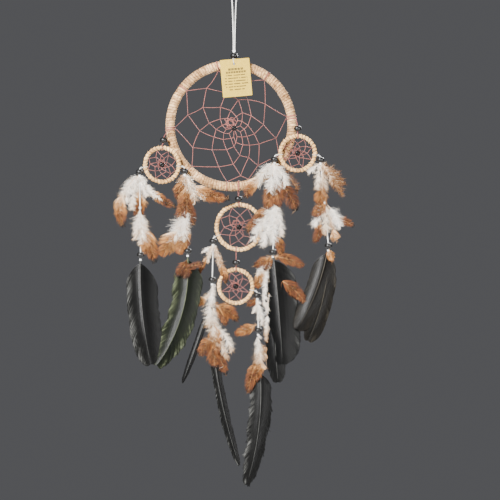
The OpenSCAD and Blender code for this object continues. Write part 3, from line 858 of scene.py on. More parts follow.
def middle_ring_threads():
    """Two loops round the hoop carry the upper ring; one twisted thread the lower ring."""
    hung = RING_BEAD["upper"]
    pile = Pile()
    thread_loop(pile, UPPER, RING_R["upper"], RING_TUBE, 90, 2)
    thread_loop(pile, UPPER, RING_R["upper"], RING_TUBE, 263, 2)
    hook_z = HOOP[2] - math.sqrt(HOOP_R**2 - (hung[0] - HOOP[0]) ** 2)
    t = circle_points(33)
    loop_r = HOOP_TUBE + 1.1
    for shift in (-0.5, 0.5):
        x = 0 * t + hung[0] + shift
        loop = np.stack([x, loop_r * np.sin(t), hook_z + loop_r * np.cos(t)], -1)
        add_tube(pile, loop, THREAD, 6, True, hint=(1, 0, 0))
    top = UPPER + [0, 0, RING_R["upper"] + RING_TUBE + 0.4]
    for shift in (-0.45, 0.45):
        drop = [(hung[0] + 1.6 * shift, 0, hook_z - loop_r), hung + [0.8 * shift, 0, 3],
                hung + [0.8 * shift, 0, -3], top + [shift, 0, 0]]
        add_tube(pile, smooth_route(drop, 1), THREAD, 6)
    pile.make("upper_threads", "upper_ring", RED, ("upper_ties",))
    hung = RING_BEAD["lower"]
    pile = Pile()
    thread_loop(pile, LOWER, RING_R["lower"], RING_TUBE, 90, 2)
    high = UPPER[2] - RING_R["upper"] - RING_TUBE - 1.0
    top = LOWER[2] + RING_R["lower"] + RING_TUBE + 0.4
    path = np.linspace((hung[0], 0, high), (hung[0], 0, top), 24)
    add_twisted(pile, path, 0.6, 2, THREAD_LAY)
    pile.make("lower_threads", "lower_ring", RED, ("lower_ties",))


# ---------------------------------------------------------------- hanger and tag


def knot_curve(centre, size, depth):
    """An overhand knot's centreline."""
    t = circle_points(64)
    x = size * (np.sin(t) + 2 * np.sin(2 * t)) / 3
    z = size * (np.cos(t) - 2 * np.cos(2 * t)) / 3
    y = -depth * np.sin(3 * t)
    return centre + np.stack([x, y, z], -1)


def hanger():
    """The loop's knot, the bead under it and the hitch of cord round the hoop."""
    pile = Pile()
    knot = knot_curve(middle("loop_knot"), 1.45, 0.8)
    add_tube(pile, knot, 0.68, 8, True, hint=(0.2, 0.1, 1))
    pile.make("overhand_knot", "hanging_loop", COTTON, ("loop_knot",))
    bead_piece("hanging_bead", [middle("top_bead")], "hanger", ("top_bead",))
    pile = Pile()
    loop_r = HOOP_TUBE + 0.65 + LOOP_CORD_R
    t = circle_points(121)
    for ply in range(3):
        turn = 26 * t + 2 * math.pi * ply / 3
        r = loop_r + 0.35 * np.cos(turn)
        loop = np.stack([0.35 * np.sin(turn), r * np.sin(t), HANGER_Z + r * np.cos(t)], -1)
        add_tube(pile, loop, 0.35, 6, True, hint=(1, 0, 0))
    top = middle("top_bead")[2] + BEAD_H / 2 - 1.2
    path = np.linspace((0, 0, HANGER_Z + loop_r), (0, 0, top), 24)
    add_twisted(pile, path, LOOP_CORD_R, 3, LOOP_CORD_LAY)
    pile.make("hanging_hitch", "hanger", COTTON, ("hanger_hitch",))


TAG_W, TAG_H, TAG_LEAN = 36.0, 46.0, math.radians(5)
TAG_CORNER = 1.0
# The hole's x and z from the card's middle, and its radius
TAG_HOLE = (-1.0, 17.2, 1.5)
STRING_ROUTE = [
    (-1.2, -4.8, -81.6), (-1.3, -6.5, -81.2), (-1.2, -8.8, -81.3), (-1.1, -10.3, -82.3),
    (-0.9, -10.3, -84), (-0.4, -10.2, -86.8), (0, -9.9, -88), (0.1, -9.2, -88.4),
    (0.3, -8.6, -87.6), (0.8, -8.5, -84.4), (1.2, -8.2, -82.4), (1.3, -6.6, -81.4),
    (1.2, -4.8, -81.6),
]


def tag_ink(x, z):
    """Plain printed marks, which say nothing: two rows of blocks over six broken rules."""
    ink = np.zeros_like(x)
    for height, half, count in ((10.6, 9.5, 5), (7.0, 12.5, 8)):
        cell = (x + half) / (2 * half) * count
        inside = (abs(x) < half) & (cell % 1 > 0.16) & (abs(z - height) < 1.25)
        ink[inside & (abs(z - height) > 0.15)] = 1.0
    breaks = np.sin(1.9 * x) + np.sin(0.83 * x + 1.0)
    for line, half in enumerate([12.5, 14.0, 13.6, 14.2, 13.2, 9.5]):
        height = 3.2 - 3.5 * line
        word = breaks + 0.8 * np.sin(2.7 * line + 0.5 * x) > -1.15
        ink[(abs(z - height) < 0.62) & (abs(x) < half) & word] = 0.9
    return ink


def tag():
    """The card: a fine grid with rounded corners, a punched hole and a slight curl."""
    low, high = node_box("tag_card")
    centre = (low + high) / 2
    nx, nz = 145, 185
    x = np.linspace(-TAG_W / 2, TAG_W / 2, nx)[:, None] * np.ones((1, nz))
    z = np.linspace(-TAG_H / 2, TAG_H / 2, nz)[None, :] * np.ones((nx, 1))
    flat_x, flat_z = TAG_W / 2 - TAG_CORNER, TAG_H / 2 - TAG_CORNER
    dx, dz = np.maximum(abs(x) - flat_x, 0), np.maximum(abs(z) - flat_z, 0)
    over = np.maximum(np.hypot(dx, dz) / TAG_CORNER, 1)
    x = np.where((dx > 0) & (dz > 0), np.sign(x) * (flat_x + dx / over), x)
    z = np.where((dx > 0) & (dz > 0), np.sign(z) * (flat_z + dz / over), z)
    hx, hz, hr = TAG_HOLE
    away = np.hypot(x - hx, z - hz)
    ease = np.clip(1 - (away - hr) / 3.0, 0, 1)
    cut = away < hr
    pull = np.where(away < hr + 0.4, hr / np.maximum(away, 1e-6), 1.0)
    x = np.where((away < hr + 0.4) & ~cut, hx + (x - hx) * pull, x)
    z = np.where((away < hr + 0.4) & ~cut, hz + (z - hz) * pull, z)
    ink = tag_ink(x, z)
    curl = 0.5 * (x / (TAG_W / 2)) ** 2 * (0.4 + 0.6 * (0.5 - z / TAG_H))
    curl = curl + 0.35 * np.clip(-z / TAG_H, 0, 1) ** 2 + 0.05 * ease
    keep = ~(cut[:-1, :-1] | cut[1:, :-1] | cut[1:, 1:] | cut[:-1, 1:])
    index = np.arange(nx * nz).reshape(nx, nz)
    quads = grid_faces(index)[keep]
    turn_x = x * math.cos(TAG_LEAN) - z * math.sin(TAG_LEAN)
    turn_z = x * math.sin(TAG_LEAN) + z * math.cos(TAG_LEAN)
    y = high[1] - curl
    points = np.stack([centre[0] + turn_x, y, centre[2] + turn_z], -1).reshape(-1, 3)
    used = np.unique(quads)
    renumber = np.full(nx * nz, -1)
    renumber[used] = np.arange(len(used))
    quads = renumber[quads]
    pile = Pile()
    pile.add(points[used], [quads], ink=ink.ravel()[used])
    card = pile.make("paper_tag", "tag", CARD, ("tag_card",))
    thick = card.modifiers.new("thickness", "SOLIDIFY")
    thick.thickness, thick.offset = (high[1] - low[1]) * MM, 1
    path = smooth_route(STRING_ROUTE, 0.4)
    pile = Pile()
    add_twisted(pile, path, THREAD, 2, 1.8)
    pile.make("tag_thread", "tag", COTTON, ("tag_string",))


# ---------------------------------------------------------------- feathers


# Points along one barb of a vane and of loose down, and how many barbs one clump has
BARB_POINTS, DOWN_POINTS, DOWN_PER_CLUMP = 9, 6, 7
# How far loose down stands to the front and back, as a share of its reach sideways
DOWN_DEPTH = 0.55
# Between the barbs of a long feather, and the downy share over which a small one has no vane
BARB_SPACING = 0.42
ALL_DOWN = 0.9


def smoothstep(low, high, x):
    t = np.clip((x - low) / (high - low), 0, 1)
    return t * t * (3 - 2 * t)


def add_barbs(pile, curve, half, thick, normal, smooth=False, **values):
    """Closed blades along curves (n, m, 3): flat underneath, a low ridge on top."""
    n, m, _ = curve.shape
    along = unit(np.gradient(curve, axis=1))
    side = unit(np.cross(along, normal))
    points = np.stack(
        [curve + half[..., None] * side, curve - half[..., None] * side,
         curve + thick[..., None] * normal], 2
    )
    i, j = np.arange(n)[:, None], np.arange(m - 1)[None, :]
    start = (i * m + j) * 3
    faces = [
        np.stack([start + a, start + b, start + 3 + b, start + 3 + a], -1).reshape(-1, 4)
        for a, b in ((0, 1), (1, 2), (2, 0))
    ]
    first = np.arange(n) * m * 3
    last = first + (m - 1) * 3
    faces.append(np.stack([first, first + 2, first + 1], -1))
    faces.append(np.stack([last, last + 1, last + 2], -1))
    wide = {k: np.broadcast_to(v, (n, m)).ravel() for k, v in values.items()}
    pile.add(points, faces, smooth, **spread(wide, 3))


class Quill:
    """A feather's curved shaft. Bow is how far its middle stands to the right of a
    straight line, lean how far it stands to the front, twist how far it turns in radians."""

    def __init__(self, base, tip, bow, lean, twist):
        self.base, self.run = np.asarray(base, float), np.asarray(tip, float) - base
        self.length = np.linalg.norm(self.run)
        along = self.run / self.length
        self.facing = unit(np.array([0, -1.0, 0]) + along[1] * along)
        self.side = np.cross(along, self.facing)
        if self.side[0] < 0:
            self.side = -self.side
        self.bend = bow * self.side + lean * self.facing
        self.twist = twist

    def at(self, t):
        """Points, headings, directions to the right and directions to the front."""
        t = np.asarray(t, float)[..., None]
        points = self.base + t * self.run + 4 * t * (1 - t) * self.bend
        heading = unit(self.run + 4 * (1 - 2 * t) * self.bend)
        turn = self.twist * t
        face = np.cos(turn) * self.facing + np.sin(turn) * self.side
        face = unit(face - np.sum(face * heading, -1, keepdims=True) * heading)
        right = np.cross(face, heading)
        right = np.where(np.sum(right * self.side, -1, keepdims=True) < 0, -right, right)
        return points, heading, right, face


def add_shaft(pile, quill, thick, **values):
    t = np.linspace(0, 0.93, 20)
    points = quill.at(t)[0]
    add_tube(pile, points, thick * (1 - 0.86 * t**0.8), 6, hint=(0.1, 1, 0.05), **values)


def leaf(u, grow, close):
    """Half width of a rounded vane: full from grow, and closing to a blunt end."""
    rise, fall = np.clip(u / grow, 0, 1), np.clip((u - close) / (1 - close), 0, 1)
    return np.sqrt(1 - (1 - rise) ** 2) * np.sqrt(1 - 0.985 * fall**2.4)


def vane_ends(t, drop):
    """Where along the quill each barb ends: some way below its root, never past the tip."""
    far, near = t + drop, 1 - 0.22 * (1 - t)
    mix = smoothstep(-0.10, 0.10, far - near)
    return np.minimum(far * (1 - mix) + near * mix, 0.999)


def lay_vane(pile, quill, side, t, half_width, drop, camber, blade, fine, ragged, frizz,
             **values):
    """One vane: barbs that leave the shaft at places t, bend towards the tip and end on an
    outline. half_width is a function of the place along the quill, drop how far a barb runs
    along it, blade a barb's half width, fine how late it narrows, frizz how uneven barbs'
    ends are from one to the next, and ragged how far the vane splits."""
    n = len(t)
    ends = vane_ends(t, drop)
    slow = np.interp(t, np.linspace(0, 1, 24), random.normal(0, 0.06 * ragged, 24))
    reach = half_width(ends) * (1 + slow + frizz * random.normal(size=n))
    splits = np.sort(random.uniform(0.1, 0.98, 4 + int(4 * ragged)))
    open_by = random.uniform(-1, 1, len(splits) + 1)[np.searchsorted(splits, t)]
    ends = np.clip(ends + open_by * 0.006 * (1 + ragged), t + 0.01, 0.9995)
    s = np.linspace(0, 1, BARB_POINTS)[None, :]
    place = t[:, None] + (ends - t)[:, None] * s**1.35
    points, _, right, face = quill.at(place)
    out = (reach[:, None] * (1 - (1 - s) ** 1.3))[..., None]
    curl = camber * np.max(reach) * (out / max(np.max(reach), 1e-6)) ** 2
    lift = (0.02 * random.uniform(-1, 1, n)[:, None] * s)[..., None]
    curve = points + side * out * right - (curl - lift) * face
    loose = (ragged * random.uniform(0, 1.3, n)[:, None] * s**4)[..., None]
    curve = curve + loose * random.normal(0, 0.6, (n, 1, 3)) * [1, 0.15, 1]
    normal = unit(face + side * (2 * camber * out / max(np.max(reach), 1e-6)) * right)
    half = blade * (1 + 0.55 * s) * (1 - 0.8 * s**fine) * np.ones((n, 1))
    thick = 0.30 * blade * (1 - 0.5 * s) * np.ones((n, 1))
    made = {k: v(t[:, None] + 0 * s, s, place) if callable(v) else v for k, v in values.items()}
    add_barbs(pile, curve, half, thick, normal, **made)


def lay_down(pile, quill, start, stop, width, pigment, tips, gap=0.62):
    """Loose down in clumps, one every gap mm from start to stop, which stands out from the
    shaft in every direction. Tips is how much darker each barb gets towards its end."""
    length = quill.length * (stop - start)
    clumps = max(6, int(length / gap))
    centre_t = start + (stop - start) * random.uniform(0, 1, clumps) ** 0.9
    reach = 0.5 * width * random.uniform(0.55, 1.1, clumps)
    taper = np.sin(np.pi * np.clip(0.12 + 0.85 * (centre_t - start) / (stop - start), 0, 1))
    reach = 1.2 + reach * (0.45 + 0.55 * taper)
    angle = np.radians(random.uniform(24, 74, clumps))
    turn = random.uniform(0, 2 * math.pi, clumps)
    sideways = random.uniform(size=clumps) < 0.7
    level = np.round(turn / math.pi) * math.pi + random.normal(0, 0.45, clumps)
    turn = np.where(sideways, level, turn)
    n = clumps * DOWN_PER_CLUMP
    pick = np.repeat(np.arange(clumps), DOWN_PER_CLUMP)
    t = np.clip(centre_t[pick] + random.normal(0, 1.1 / quill.length, n), 0.01, 0.99)
    root, heading, right, face = quill.at(t)

    def aim(angles, turns):
        across = np.cos(turns)[:, None] * right + DOWN_DEPTH * np.sin(turns)[:, None] * face
        return np.cos(angles)[:, None] * heading + np.sin(angles)[:, None] * unit(across)

    own = aim(angle[pick] + random.normal(0, 0.22, n), turn[pick] + random.normal(0, 0.35, n))
    shared = aim(angle[pick], turn[pick])
    size = reach[pick] * random.uniform(0.6, 1.1, n)
    size = size * np.where(random.uniform(size=n) < 0.12, random.uniform(1.1, 1.5, n), 1)
    middle_root = quill.at(centre_t[pick])[0]
    end = 0.7 * (root + own * size[:, None]) + 0.3 * (middle_root + shared * size[:, None])
    end = end + random.normal(0, 0.22, (n, 3))
    s = np.linspace(0, 1, DOWN_POINTS)[None, :, None]
    elbow = root + own * (0.5 * size)[:, None] + heading * (0.06 * size)[:, None]
    curve = (1 - s) ** 2 * root[:, None] + 2 * s * (1 - s) * elbow[:, None]
    curve = curve + s**2 * end[:, None]
    wave = random.uniform(0.04, 0.22, n)[:, None, None] * s
    beat = random.uniform(0.7, 1.7, n)[:, None, None]
    phase = random.uniform(0, 2 * math.pi, (n, 1, 1))
    normal = unit(np.cross(np.cross(own, face + 1e-3), own))[:, None]
    curve = curve + wave * np.sin(2 * math.pi * beat * s + phase) * normal
    curve[..., 2] -= (0.04 * size)[:, None] * s[..., 0] ** 2
    s = s[..., 0]
    half = 0.135 * (1 - 0.8 * s**1.4) * np.ones((n, 1))
    tone = pigment(t)[:, None] + tips * smoothstep(0.55, 1.0, s)
    tone = tone + random.normal(0, 0.05, (n, 1)) + 0.25 * tone * random.normal(0, 1, (n, 1))
    # Painted shade: a random darkening for each barb of down.
    barb = random.uniform(0.3, 1, n)[:, None] * np.ones_like(s)
    add_barbs(pile, curve, half, half, normal * np.ones_like(curve), True,
              pigment=tone, barb=barb)
    inner = DOWN_POINTS - 3
    picks = curve[:, 2:-1].reshape(-1, 3)
    away = unit(random.normal(size=picks.shape) + 0.8 * np.repeat(own, inner, 0))
    add_hairs(pile, picks, away, random.uniform(0.5, 1.5, len(picks)), 0.035,
              pigment=np.repeat(tone[:, 3], inner), barb=0.95)


def small_feather(pile, row, bead):
    """A short body feather: loose down from its quill to where the vane closes."""
    bx, bz, tx, tz, width, bow, front, start, end, fluff, rim = row
    base = bead + [bx, random.uniform(-0.6, 0.2), bz]
    tip = bead + [tx, -front, tz]
    quill = Quill(base, tip, bow, random.uniform(-1, 2), random.uniform(-0.4, 0.4))

    def pigment(t):
        return start + (end - start) * smoothstep(fluff - 0.44, fluff + 0.16, t)

    add_shaft(pile, quill, 0.32, pigment=0.16 + 0.25 * end, barb=0.95)
    spiky = 0.30 if end > 0.5 and fluff > ALL_DOWN else 0.05
    lay_down(pile, quill, 0.03, min(fluff + 0.22, 0.97), width, pigment, spiky)
    if fluff > ALL_DOWN:
        return
    lay_down(pile, quill, fluff, 0.95, 0.95 * width, pigment, 0.05, 1.1)
    first = max(0.05, fluff - 0.22)

    def outline(at):
        return 0.44 * width * leaf((at - first) / (1 - first), 0.45, 0.40)

    def tint(t, s, place):
        edge = rim * smoothstep(0.88, 0.97, place + 0.02 * s)
        return pigment(t) + edge + 0.05 * s + grain

    for side in (-1, 1):
        count = max(12, int(quill.length * (1 - first) / 0.30))
        t = first + (0.985 - first) * (np.arange(count) + random.uniform(0, 1, count)) / count
        grain = random.normal(0, 0.07, (count, 1))
        # Painted shade: a random darkening for each barb of the vane.
        shade = random.uniform(0.25, 1, (count, 1))
        drop = min(0.30, 0.55 * width / quill.length)
        lay_vane(pile, quill, side, t, outline, drop, camber=0.16, blade=0.23, fine=3.5,
                 ragged=1.1, frizz=0.17, pigment=tint, barb=shade)


def long_feather(pile, row, bead):
    """A long flight feather with two closed vanes that curl back at their edges. The glints are
    how much painted highlight each vane's barbs carry at its margin."""
    bx, bz, tx, tz, width, bow, front, share, ragged, left_glint, right_glint, blunt = row
    base, tip = bead + [bx, 0, bz], bead + [tx, -front, tz]
    quill = Quill(base, tip, bow, 2.0, random.uniform(-0.2, 0.2))
    # The shaft, its base wisps and any bare stem get a share of the painted glint too.
    add_shaft(pile, quill, 0.8, barb=0.85, shine=0.75)
    for side in (-1, 1):
        part = share if side < 0 else 1 - share
        glint = left_glint if side < 0 else right_glint

        def outline(at, part=part):
            return width * part * (0.04 + 0.96 * leaf(at, 0.30, blunt))

        count = int(quill.length * 0.94 / BARB_SPACING)
        t = 0.045 + 0.945 * (np.arange(count) + random.uniform(0, 0.3, count)) / count
        slow = np.interp(t, np.linspace(0, 1, 15), random.uniform(-0.35, 0.35, 15))[:, None]

        # Painted highlight: strongest towards each vane's margin and uneven along the quill.
        def shine(t, s, place, glint=glint, slow=slow):
            margin = smoothstep(0.25, 0.95, s) * (1 - 0.5 * smoothstep(0.95, 1.0, s))
            return np.clip(glint * (0.30 + 0.70 * margin) * (1 + slow), 0, 1)

        # Each barb's share of the painted glint.
        shade = random.uniform(0.2, 1, (count, 1))
        drop = min(0.2, 0.62 * width / quill.length)
        lay_vane(pile, quill, side, t, outline, drop, camber=0.26, blade=0.34, fine=9,
                 ragged=ragged, frizz=0.012, shine=shine, barb=shade)
    wisps = int(30 + 60 * ragged)
    t = random.uniform(0.02, 0.10, wisps)
    root, heading, _, _ = quill.at(t)
    away = random.normal(size=root.shape) * [1, 0.4, 0.6] + heading * 0.8
    add_hairs(pile, root, away, random.uniform(2, 6, wisps), 0.07, barb=0.7, shine=0.8)


# Rows of small feathers, in mm from a bead: base x and z, tip x and z, width, bow to the
# right, front (how far the tip stands out towards the viewer), pigment of the down and of
# the vane, downy share, and how dark the vane's rim is.
TOP_TUFTS = {
    "a": [
        (-0.6, -4, -18.7, -68, 15, -13, 3, 0.04, 0.56, 0.68, 0.4),
        (-0.4, -4, -17, -38, 19, -4, 1, 0.02, 0.10, 1.0, 0),
        (-0.2, -4, -9, -46, 17, -3, 2, 0.05, 0.16, 1.0, 0),
        (0, -4, -1.8, -57, 17, 0, -1, 0.06, 0.62, 0.64, 0.1),
        (0.8, -4, 10, -30, 13, -2, 3, 0.03, 0.12, 1.0, 0),
        (0.8, -4, 27, -33, 11, -4, 2, 0.02, 0.12, 1.0, 0),
        (1, -4, 46, -43, 11, -6, 2, 0.05, 0.66, 0.60, 0.35),
        (0.1, -45, 3.4, -88, 20, 1, 2, 0.02, 0.14, 1.0, 0),
        (-0.5, -47, -6, -82, 13, 0, -1, 0.06, 0.22, 1.0, 0),
        (1, -50, 18.8, -111.7, 16, 1, 1, 0.12, 0.54, 0.58, 0.5),
        (0.4, -60, 9, -100, 13, 0, 2, 0.20, 0.48, 0.72, 0.1),
    ],
    "b": [
        (0, -4, 2.6, -58, 19, 0, 2, 0.20, 0.62, 0.52, 0.1),
        (1, -4, 13, -38, 17, 1, 3, 0.14, 0.22, 1.0, 0),
        (-1, -4, -9, -34, 13, -1, 1, 0.26, 0.60, 0.55, 0.1),
        (0.4, -4, 24, -33, 14, -3, 1, 0.03, 0.10, 1.0, 0),
        (1, -4, 55.6, -33.2, 15, -9, 2, 0.05, 0.55, 0.50, 0.5),
        (0.4, -36, 9.4, -67, 14, 1, 3, 0.58, 0.68, 0.40, 0.2),
        (-0.6, -34, -7, -60, 13, 0, 1, 0.50, 0.60, 0.35, 0.1),
        (1.2, -46, -17, -88.4, 25, 1, 2, 0.0, 0.10, 1.0, 0),
        (1.6, -47, -2, -84, 20, 1, 3, 0.0, 0.12, 1.0, 0),
        (1, -52, -30.8, -103, 22, 3, 1, 0.06, 0.47, 0.62, 0.1),
        (1.4, -56, -8, -102, 18, 2, 2, 0.10, 0.48, 0.60, 0.1),
        (2, -58, -0.6, -98, 12, 0, 0, 0.22, 0.62, 0.55, 0.1),
    ],
    "c": [
        (-0.6, -4, -14, -13, 6, 1, 1, 0.02, 0.12, 1.0, 0),
        (-0.6, -4, -20.4, -44.8, 6, 0, 1, 0.10, 0.64, 0.62, 0.35),
        (-0.3, -4, -7, -26, 6, 0, 2, 0.10, 0.20, 1.0, 0),
        (1, -4, 9, -36, 8, 1, 2, 0.16, 0.28, 1.0, 0),
        (1, -6, 16.3, -51, 9, 1, 3, 0.22, 0.60, 0.78, 0.3),
    ],
    "d": [
        (-0.6, -4, -22, -33, 18, -2, 1, 0.02, 0.10, 1.0, 0),
        (-0.2, -4, -6, -42, 23, 0, 3, 0.0, 0.05, 1.0, 0),
        (0.4, -4, 5, -40, 22, 0, 2, 0.0, 0.06, 1.0, 0),
        (0.8, -4, 15, -32, 18, 1, 3, 0.02, 0.10, 1.0, 0),
        (-1, -4, -37, -47.5, 13, -3, 2, 0.03, 0.55, 0.70, 0.35),
        (0, -26, -9.5, -61, 18, 0, 2, 0.46, 0.55, 0.35, 0.2),
        (0.4, -24, 5.4, -58, 17, 0, 3, 0.48, 0.58, 0.35, 0.2),
        (1, -6, 28.9, -38, 18, 2, 0, 0.52, 0.74, 1.0, 0),
        (2, -26, 26, -64, 19, 4, 2, 0.58, 0.68, 0.30, 0.4),
        (-1.2, -52, -27, -98.7, 22, 0, 2, 0.01, 0.10, 1.0, 0),
        (-1, -54, -15, -106, 23, 0, 3, 0.0, 0.08, 1.0, 0),
        (-0.5, -53, -2, -104, 22, 0, 2, 0.0, 0.06, 1.0, 0),
        (0.5, -53, 8, -94, 17, 1, 1, 0.03, 0.16, 1.0, 0),
        (-1.6, -54, -35, -89, 14, -1, 0, 0.36, 0.60, 0.45, 0.3),
        (0.6, -92, 7.4, -119, 12, 3, -1, 0.40, 0.56, 0.35, 0.4),
    ],
    "e": [
        (-1, -4, -14.6, -16, 11, 0, 2, 0.05, 0.14, 1.0, 0),
        (-0.4, -4, -4, -36, 14, 0, 3, 0.08, 0.20, 1.0, 0),
        (0, -4, 4, -44, 17, 1, 2, 0.16, 0.36, 1.0, 0),
        (1, -4, 17, -34, 15, 1, 3, 0.20, 0.44, 1.0, 0),
        (1, -5, 28.6, -31, 19, 2, 1, 0.40, 0.56, 1.0, 0),
        (1.4, -8, 27, -44, 19, 3, 2, 0.38, 0.55, 1.0, 0),
        (2, -24, -3, -55, 18, 2, 2, 0.42, 0.50, 0.60, 0.1),
        (8, -42, -9.7, -68.6, 15, 3, 3, 0.40, 0.52, 0.55, 0.2),
        (6, -54, -8, -81, 19, 0, 2, 0.0, 0.06, 1.0, 0),
        (7, -56, 6, -92, 17, 0, 3, 0.10, 0.26, 1.0, 0),
        (8, -55, 24, -82, 21, 2, 2, 0.0, 0.06, 1.0, 0),
        (8, -58, 18, -98, 16, 1, 1, 0.20, 0.40, 0.90, 0),
        (1, -74, -7.2, -101, 12, 1, 2, 0.30, 0.64, 0.40, 0.1),
        (17, -72, 41, -81.8, 9, 2, 1, 0.30, 0.64, 0.40, 0.3),
    ],
    "f": [
        (0.5, -4, 6.4, -38, 13, 0, 2, 0.02, 0.14, 1.0, 0),
        (0, -5, -4, -22, 8, 0, 1, 0.05, 0.14, 1.0, 0),
        (-1, -4, -12.6, -11.6, 9, 1, 1, 0.48, 0.62, 0.40, 0.1),
        (-0.5, -36, -28, -47, 13, 1, 1, 0.36, 0.48, 0.35, 0.2),
    ],
}
LOW_TUFTS = {
    "b": [
        (-0.2, -10, -14.4, -30, 12, 1, 4, 0.58, 0.66, 0.40, 0.2),
        (-7, -26, 19.4, -15, 9, -2, 4, 0.58, 0.68, 0.35, 0.2),
        (0, -12, -2, -33, 11, 0, 3, 0.56, 0.66, 0.55, 0.1),
    ],
    "c": [
        (0, -5, 0, -33, 14, 0, 3, 0.02, 0.18, 1.0, 0),
        (-0.4, -20, -5, -58, 19, 0, 2, 0.06, 0.26, 1.0, 0),
        (0.4, -34, 3, -74, 20, 0, 3, 0.10, 0.32, 1.0, 0),
        (-1, -16, -25, -31, 12, 2, 1, 0.14, 0.50, 0.55, 0.1),
        (1, -30, 31.4, -50, 16, 3, 2, 0.30, 0.56, 0.40, 0.5),
        (0, -24, 17, -56, 13, 2, 1, 0.34, 0.58, 0.50, 0.2),
        (0, -40, 5, -92, 17, 0, 4, 0.26, 0.50, 0.55, 0.1),
        (-1, -66, -17, -92, 19, 2, 2, 0.40, 0.60, 0.45, 0.2),
        (-0.6, -76, 3, -108, 17, 0, 3, 0.44, 0.60, 0.40, 0.2),
        (0, -84, 16.8, -117, 13, 2, 1, 0.46, 0.64, 0.35, 0.5),
        (2, -56, 24, -88, 16, 3, 2, 0.06, 0.30, 1.0, 0),
        (1, -66, 18, -98, 15, 2, 3, 0.16, 0.40, 1.0, 0),
    ],
    "d": [
        (-1, -4, -23, -17, 12, 1, 4, 0.30, 0.58, 0.45, 0.2),
        (-1, -5, -11, -22, 9, 0, 5, 0.40, 0.62, 0.35, 0.2),
        (-2, -8, -20, -27, 12, 0, 4, 0.04, 0.14, 1.0, 0),
        (-3, -12, -20.6, -44, 14, -1, 3, 0.10, 0.48, 0.62, 0.1),
        (-4, -10, -9.4, -70, 9, -3, 2, 0.02, 0.14, 1.0, 0),
        (-5, -50, -8, -110, 8, -1, 1, 0.03, 0.36, 0.95, 0),
        (1, -5, 37.4, -17.6, 14, 2, 4, 0.48, 0.60, 0.35, 0.1),
        (2, -6, 24, -12, 10, 1, 3, 0.42, 0.56, 0.50, 0.1),
        (8, -34, 38.6, -61.6, 15, 3, 1, 0.56, 0.62, 0.30, 0.1),
    ],
    "e": [(0.8, -4, 4.4, -19, 10, 0, 3, 0.34, 0.40, 0.30, 0.1)],
    "f": [
        (0, -5, 1, -30, 15, 0, 2, 0.02, 0.16, 1.0, 0),
        (0.6, -14, 3, -50, 18, 0, 3, 0.16, 0.40, 0.90, 0),
        (-0.6, -34, -12, -77, 14, -2, 2, 0.44, 0.62, 0.40, 0.2),
        (0, -34, -3, -62, 13, 0, 3, 0.30, 0.56, 0.50, 0.1),
        (1, -18, 30, -50, 12, 3, 1, 0.30, 0.44, 1.0, 0),
        (0.6, -20, 17, -50, 11, 2, 2, 0.24, 0.40, 1.0, 0),
    ],
}

# Long feathers, in mm from the lower bead: base, tip, width, bow, front, left vane's share of
# the width, raggedness, left and right painted glints, where the tip begins to close
LONG_FEATHERS = {
    "a": [(-0.5, -4.8, 13, -135, 38, -4, 1, 0.47, 0.35, 0.85, 0.40, 0.72)],
    "b": [(-0.5, -4.8, -38.6, -141, 34, 13, 1, 0.50, 1.0, 0.90, 0.62, 0.60)],
    "c": [
        (-7, -42, -37, -127, 8, 1, 0, 0.5, 0.5, 0.30, 0.15, 0.50),
        (-1, -64, 33.4, -229.3, 11.5, -5, 0, 0.5, 0.7, 0.65, 0.15, 0.62),
    ],
    "d": [
        (0.5, -4.8, 11.6, -138, 37, 1, 1, 0.34, 0.3, 0.04, 0.55, 0.76),
        (1, -90, 6, -160, 22, 0, -3, 0.5, 1.3, 0.25, 0.45, 0.6),
    ],
    "e": [
        (-1, -4.8, -38.6, -103, 30, 5, 1, 0.45, 0.4, 0.40, 0.45, 0.70),
        (-0.4, -20, -25.4, -117, 23, 5, -2, 0.45, 0.4, 0.35, 0.60, 0.78),
    ],
    "f": [(2, -48, -15.3, -191.7, 25, 7, 0, 0.50, 1.6, 0.85, 0.20, 0.45)],
}


def tuft(name, rows, bead, body, node):
    """All the small feathers that one body carries near one bead."""
    pile = Pile()
    for row in rows:
        small_feather(pile, row, bead)
    pile.make(name, body, DOWN, (node,))


def add_whipping(pile, spot, radius, turns, thread):
    """Close turns of thread round the quills."""
    for turn in range(turns):
        t = circle_points(17)
        height = 1.7 * thread * (turn - (turns - 1) / 2) + 0 * t
        ring = spot + np.stack([radius * np.cos(t), radius * np.sin(t), height], -1)
        add_tube(pile, ring, thread, 6, True, hint=(0, 0, 1))


# Strands that carry a second tuft, and how far down the strand it is tied
SECOND_TIE = {"a": 0.43, "b": 0.46, "d": 0.46, "e": 0.50}


def bindings(key):
    """White thread wound over the quills where each tuft is tied to the cord."""
    pile = Pile()
    up, low = UP[key], LOW[key]
    spots = [up - [0, 0, BEAD_H / 2 + 1.6]]
    if key in SECOND_TIE:
        spots.append(up + (low - up) * SECOND_TIE[key])
    for spot in spots:
        add_whipping(pile, spot, 1.3, 5, 0.34)
    pile.make(f"{key}_bindings", f"{key}_strand", COTTON)
    pile = Pile()
    add_whipping(pile, low - [0.3, 0, BEAD_H / 2 + 2.6], 1.15, 4, 0.32)
    pile.make(f"{key}_plume_binding", f"{key}_plume", COTTON)


# A feather that starts further below its bead than this shows its bare quill
STEM_FROM = 6


def add_stem(pile, bead, row):
    """The bare quill of a feather that starts some way below its bead."""
    foot = bead + [row[0], 0, row[1]]
    neck = bead - [0.3, 0, BEAD_H / 2 + 0.6]
    path = smooth_route([neck, (neck + foot) / 2 + [0.6, -0.4, 0], foot], 2)
    add_tube(pile, path, 0.42, 6, hint=(0.1, 1, 0.05), barb=0.6, shine=0.35)


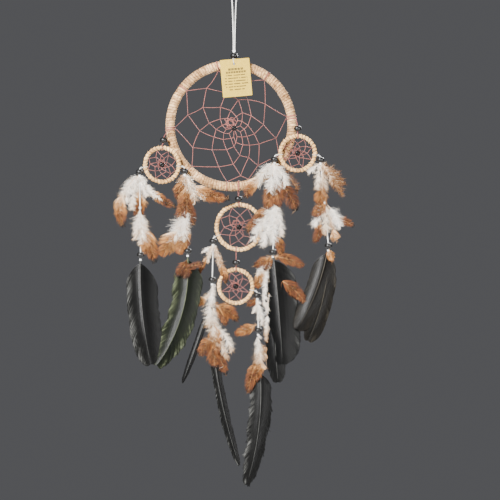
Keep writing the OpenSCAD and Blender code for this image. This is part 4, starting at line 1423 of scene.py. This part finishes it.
def long_plumes(key):
    body = f"{key}_plume"
    node = f"{key}_long_feathers" if key == "c" else f"{key}_long_feather"
    for number, row in enumerate(LONG_FEATHERS[key], 1):
        pile = Pile()
        long_feather(pile, row, LOW[key])
        if row[1] < -STEM_FROM:
            add_stem(pile, LOW[key], row)
        look = GREEN_SHEEN_PLUME if key == "b" else BROWN_BLACK if key == "e" else BLACK
        pile.make(f"{key}_black_plume_{number}", body, look, (node,))


def strands():
    for key in STRANDS:
        bead_piece(f"{key}_strand_beads", [UP[key], LOW[key]], f"{key}_strand",
                   (f"{key}_beads",))
        bindings(key)
        tuft(f"{key}_top_tuft", TOP_TUFTS[key], UP[key], f"{key}_strand",
             f"{key}_top_feathers")
        if key in LOW_TUFTS:
            node = f"{key}_low_feather" if key == "e" else f"{key}_low_feathers"
            tuft(f"{key}_low_tuft", LOW_TUFTS[key], LOW[key], f"{key}_plume", node)
        long_plumes(key)


# ---------------------------------------------------------------- scene


# The floor reaches this many metres each way, with this many grid lines, this far below
FLOOR_HALF, FLOOR_LINES, FLOOR_DROP = 1.8, 24, 390


def carried_over():
    """The hidden cores keep their CAD shape and get a real finish."""
    for node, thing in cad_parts.items():
        if node.endswith("_core"):
            look = WOOD if node == "hoop_core" else METAL
            for holder in thing.material_slots:
                holder.material = look


def floor():
    """A pale floor well below the part."""
    xs = np.linspace(-FLOOR_HALF, FLOOR_HALF, FLOOR_LINES) / MM
    x, y = np.meshgrid(xs, xs, indexing="ij")
    z = np.full_like(x, cad_low[2] / MM - FLOOR_DROP)
    quads = grid_faces(np.arange(FLOOR_LINES**2).reshape(FLOOR_LINES, -1)).reshape(-1, 4)
    mesh = bpy.data.meshes.new("floor")
    points = np.stack([x, y, z], -1).reshape(-1, 3) * MM
    mesh.from_pydata(points.tolist(), [], quads.tolist())
    thing = bpy.data.objects.new("floor", mesh)
    bpy.context.collection.objects.link(thing)
    mesh.materials.append(PALE)


add_camera()
hanging_loop()
strand_cords()
add_light()
floor()
hanger()
tag()
main_hoop()
small_rings()
side_ring_threads()
middle_ring_threads()
strands()
carried_over()
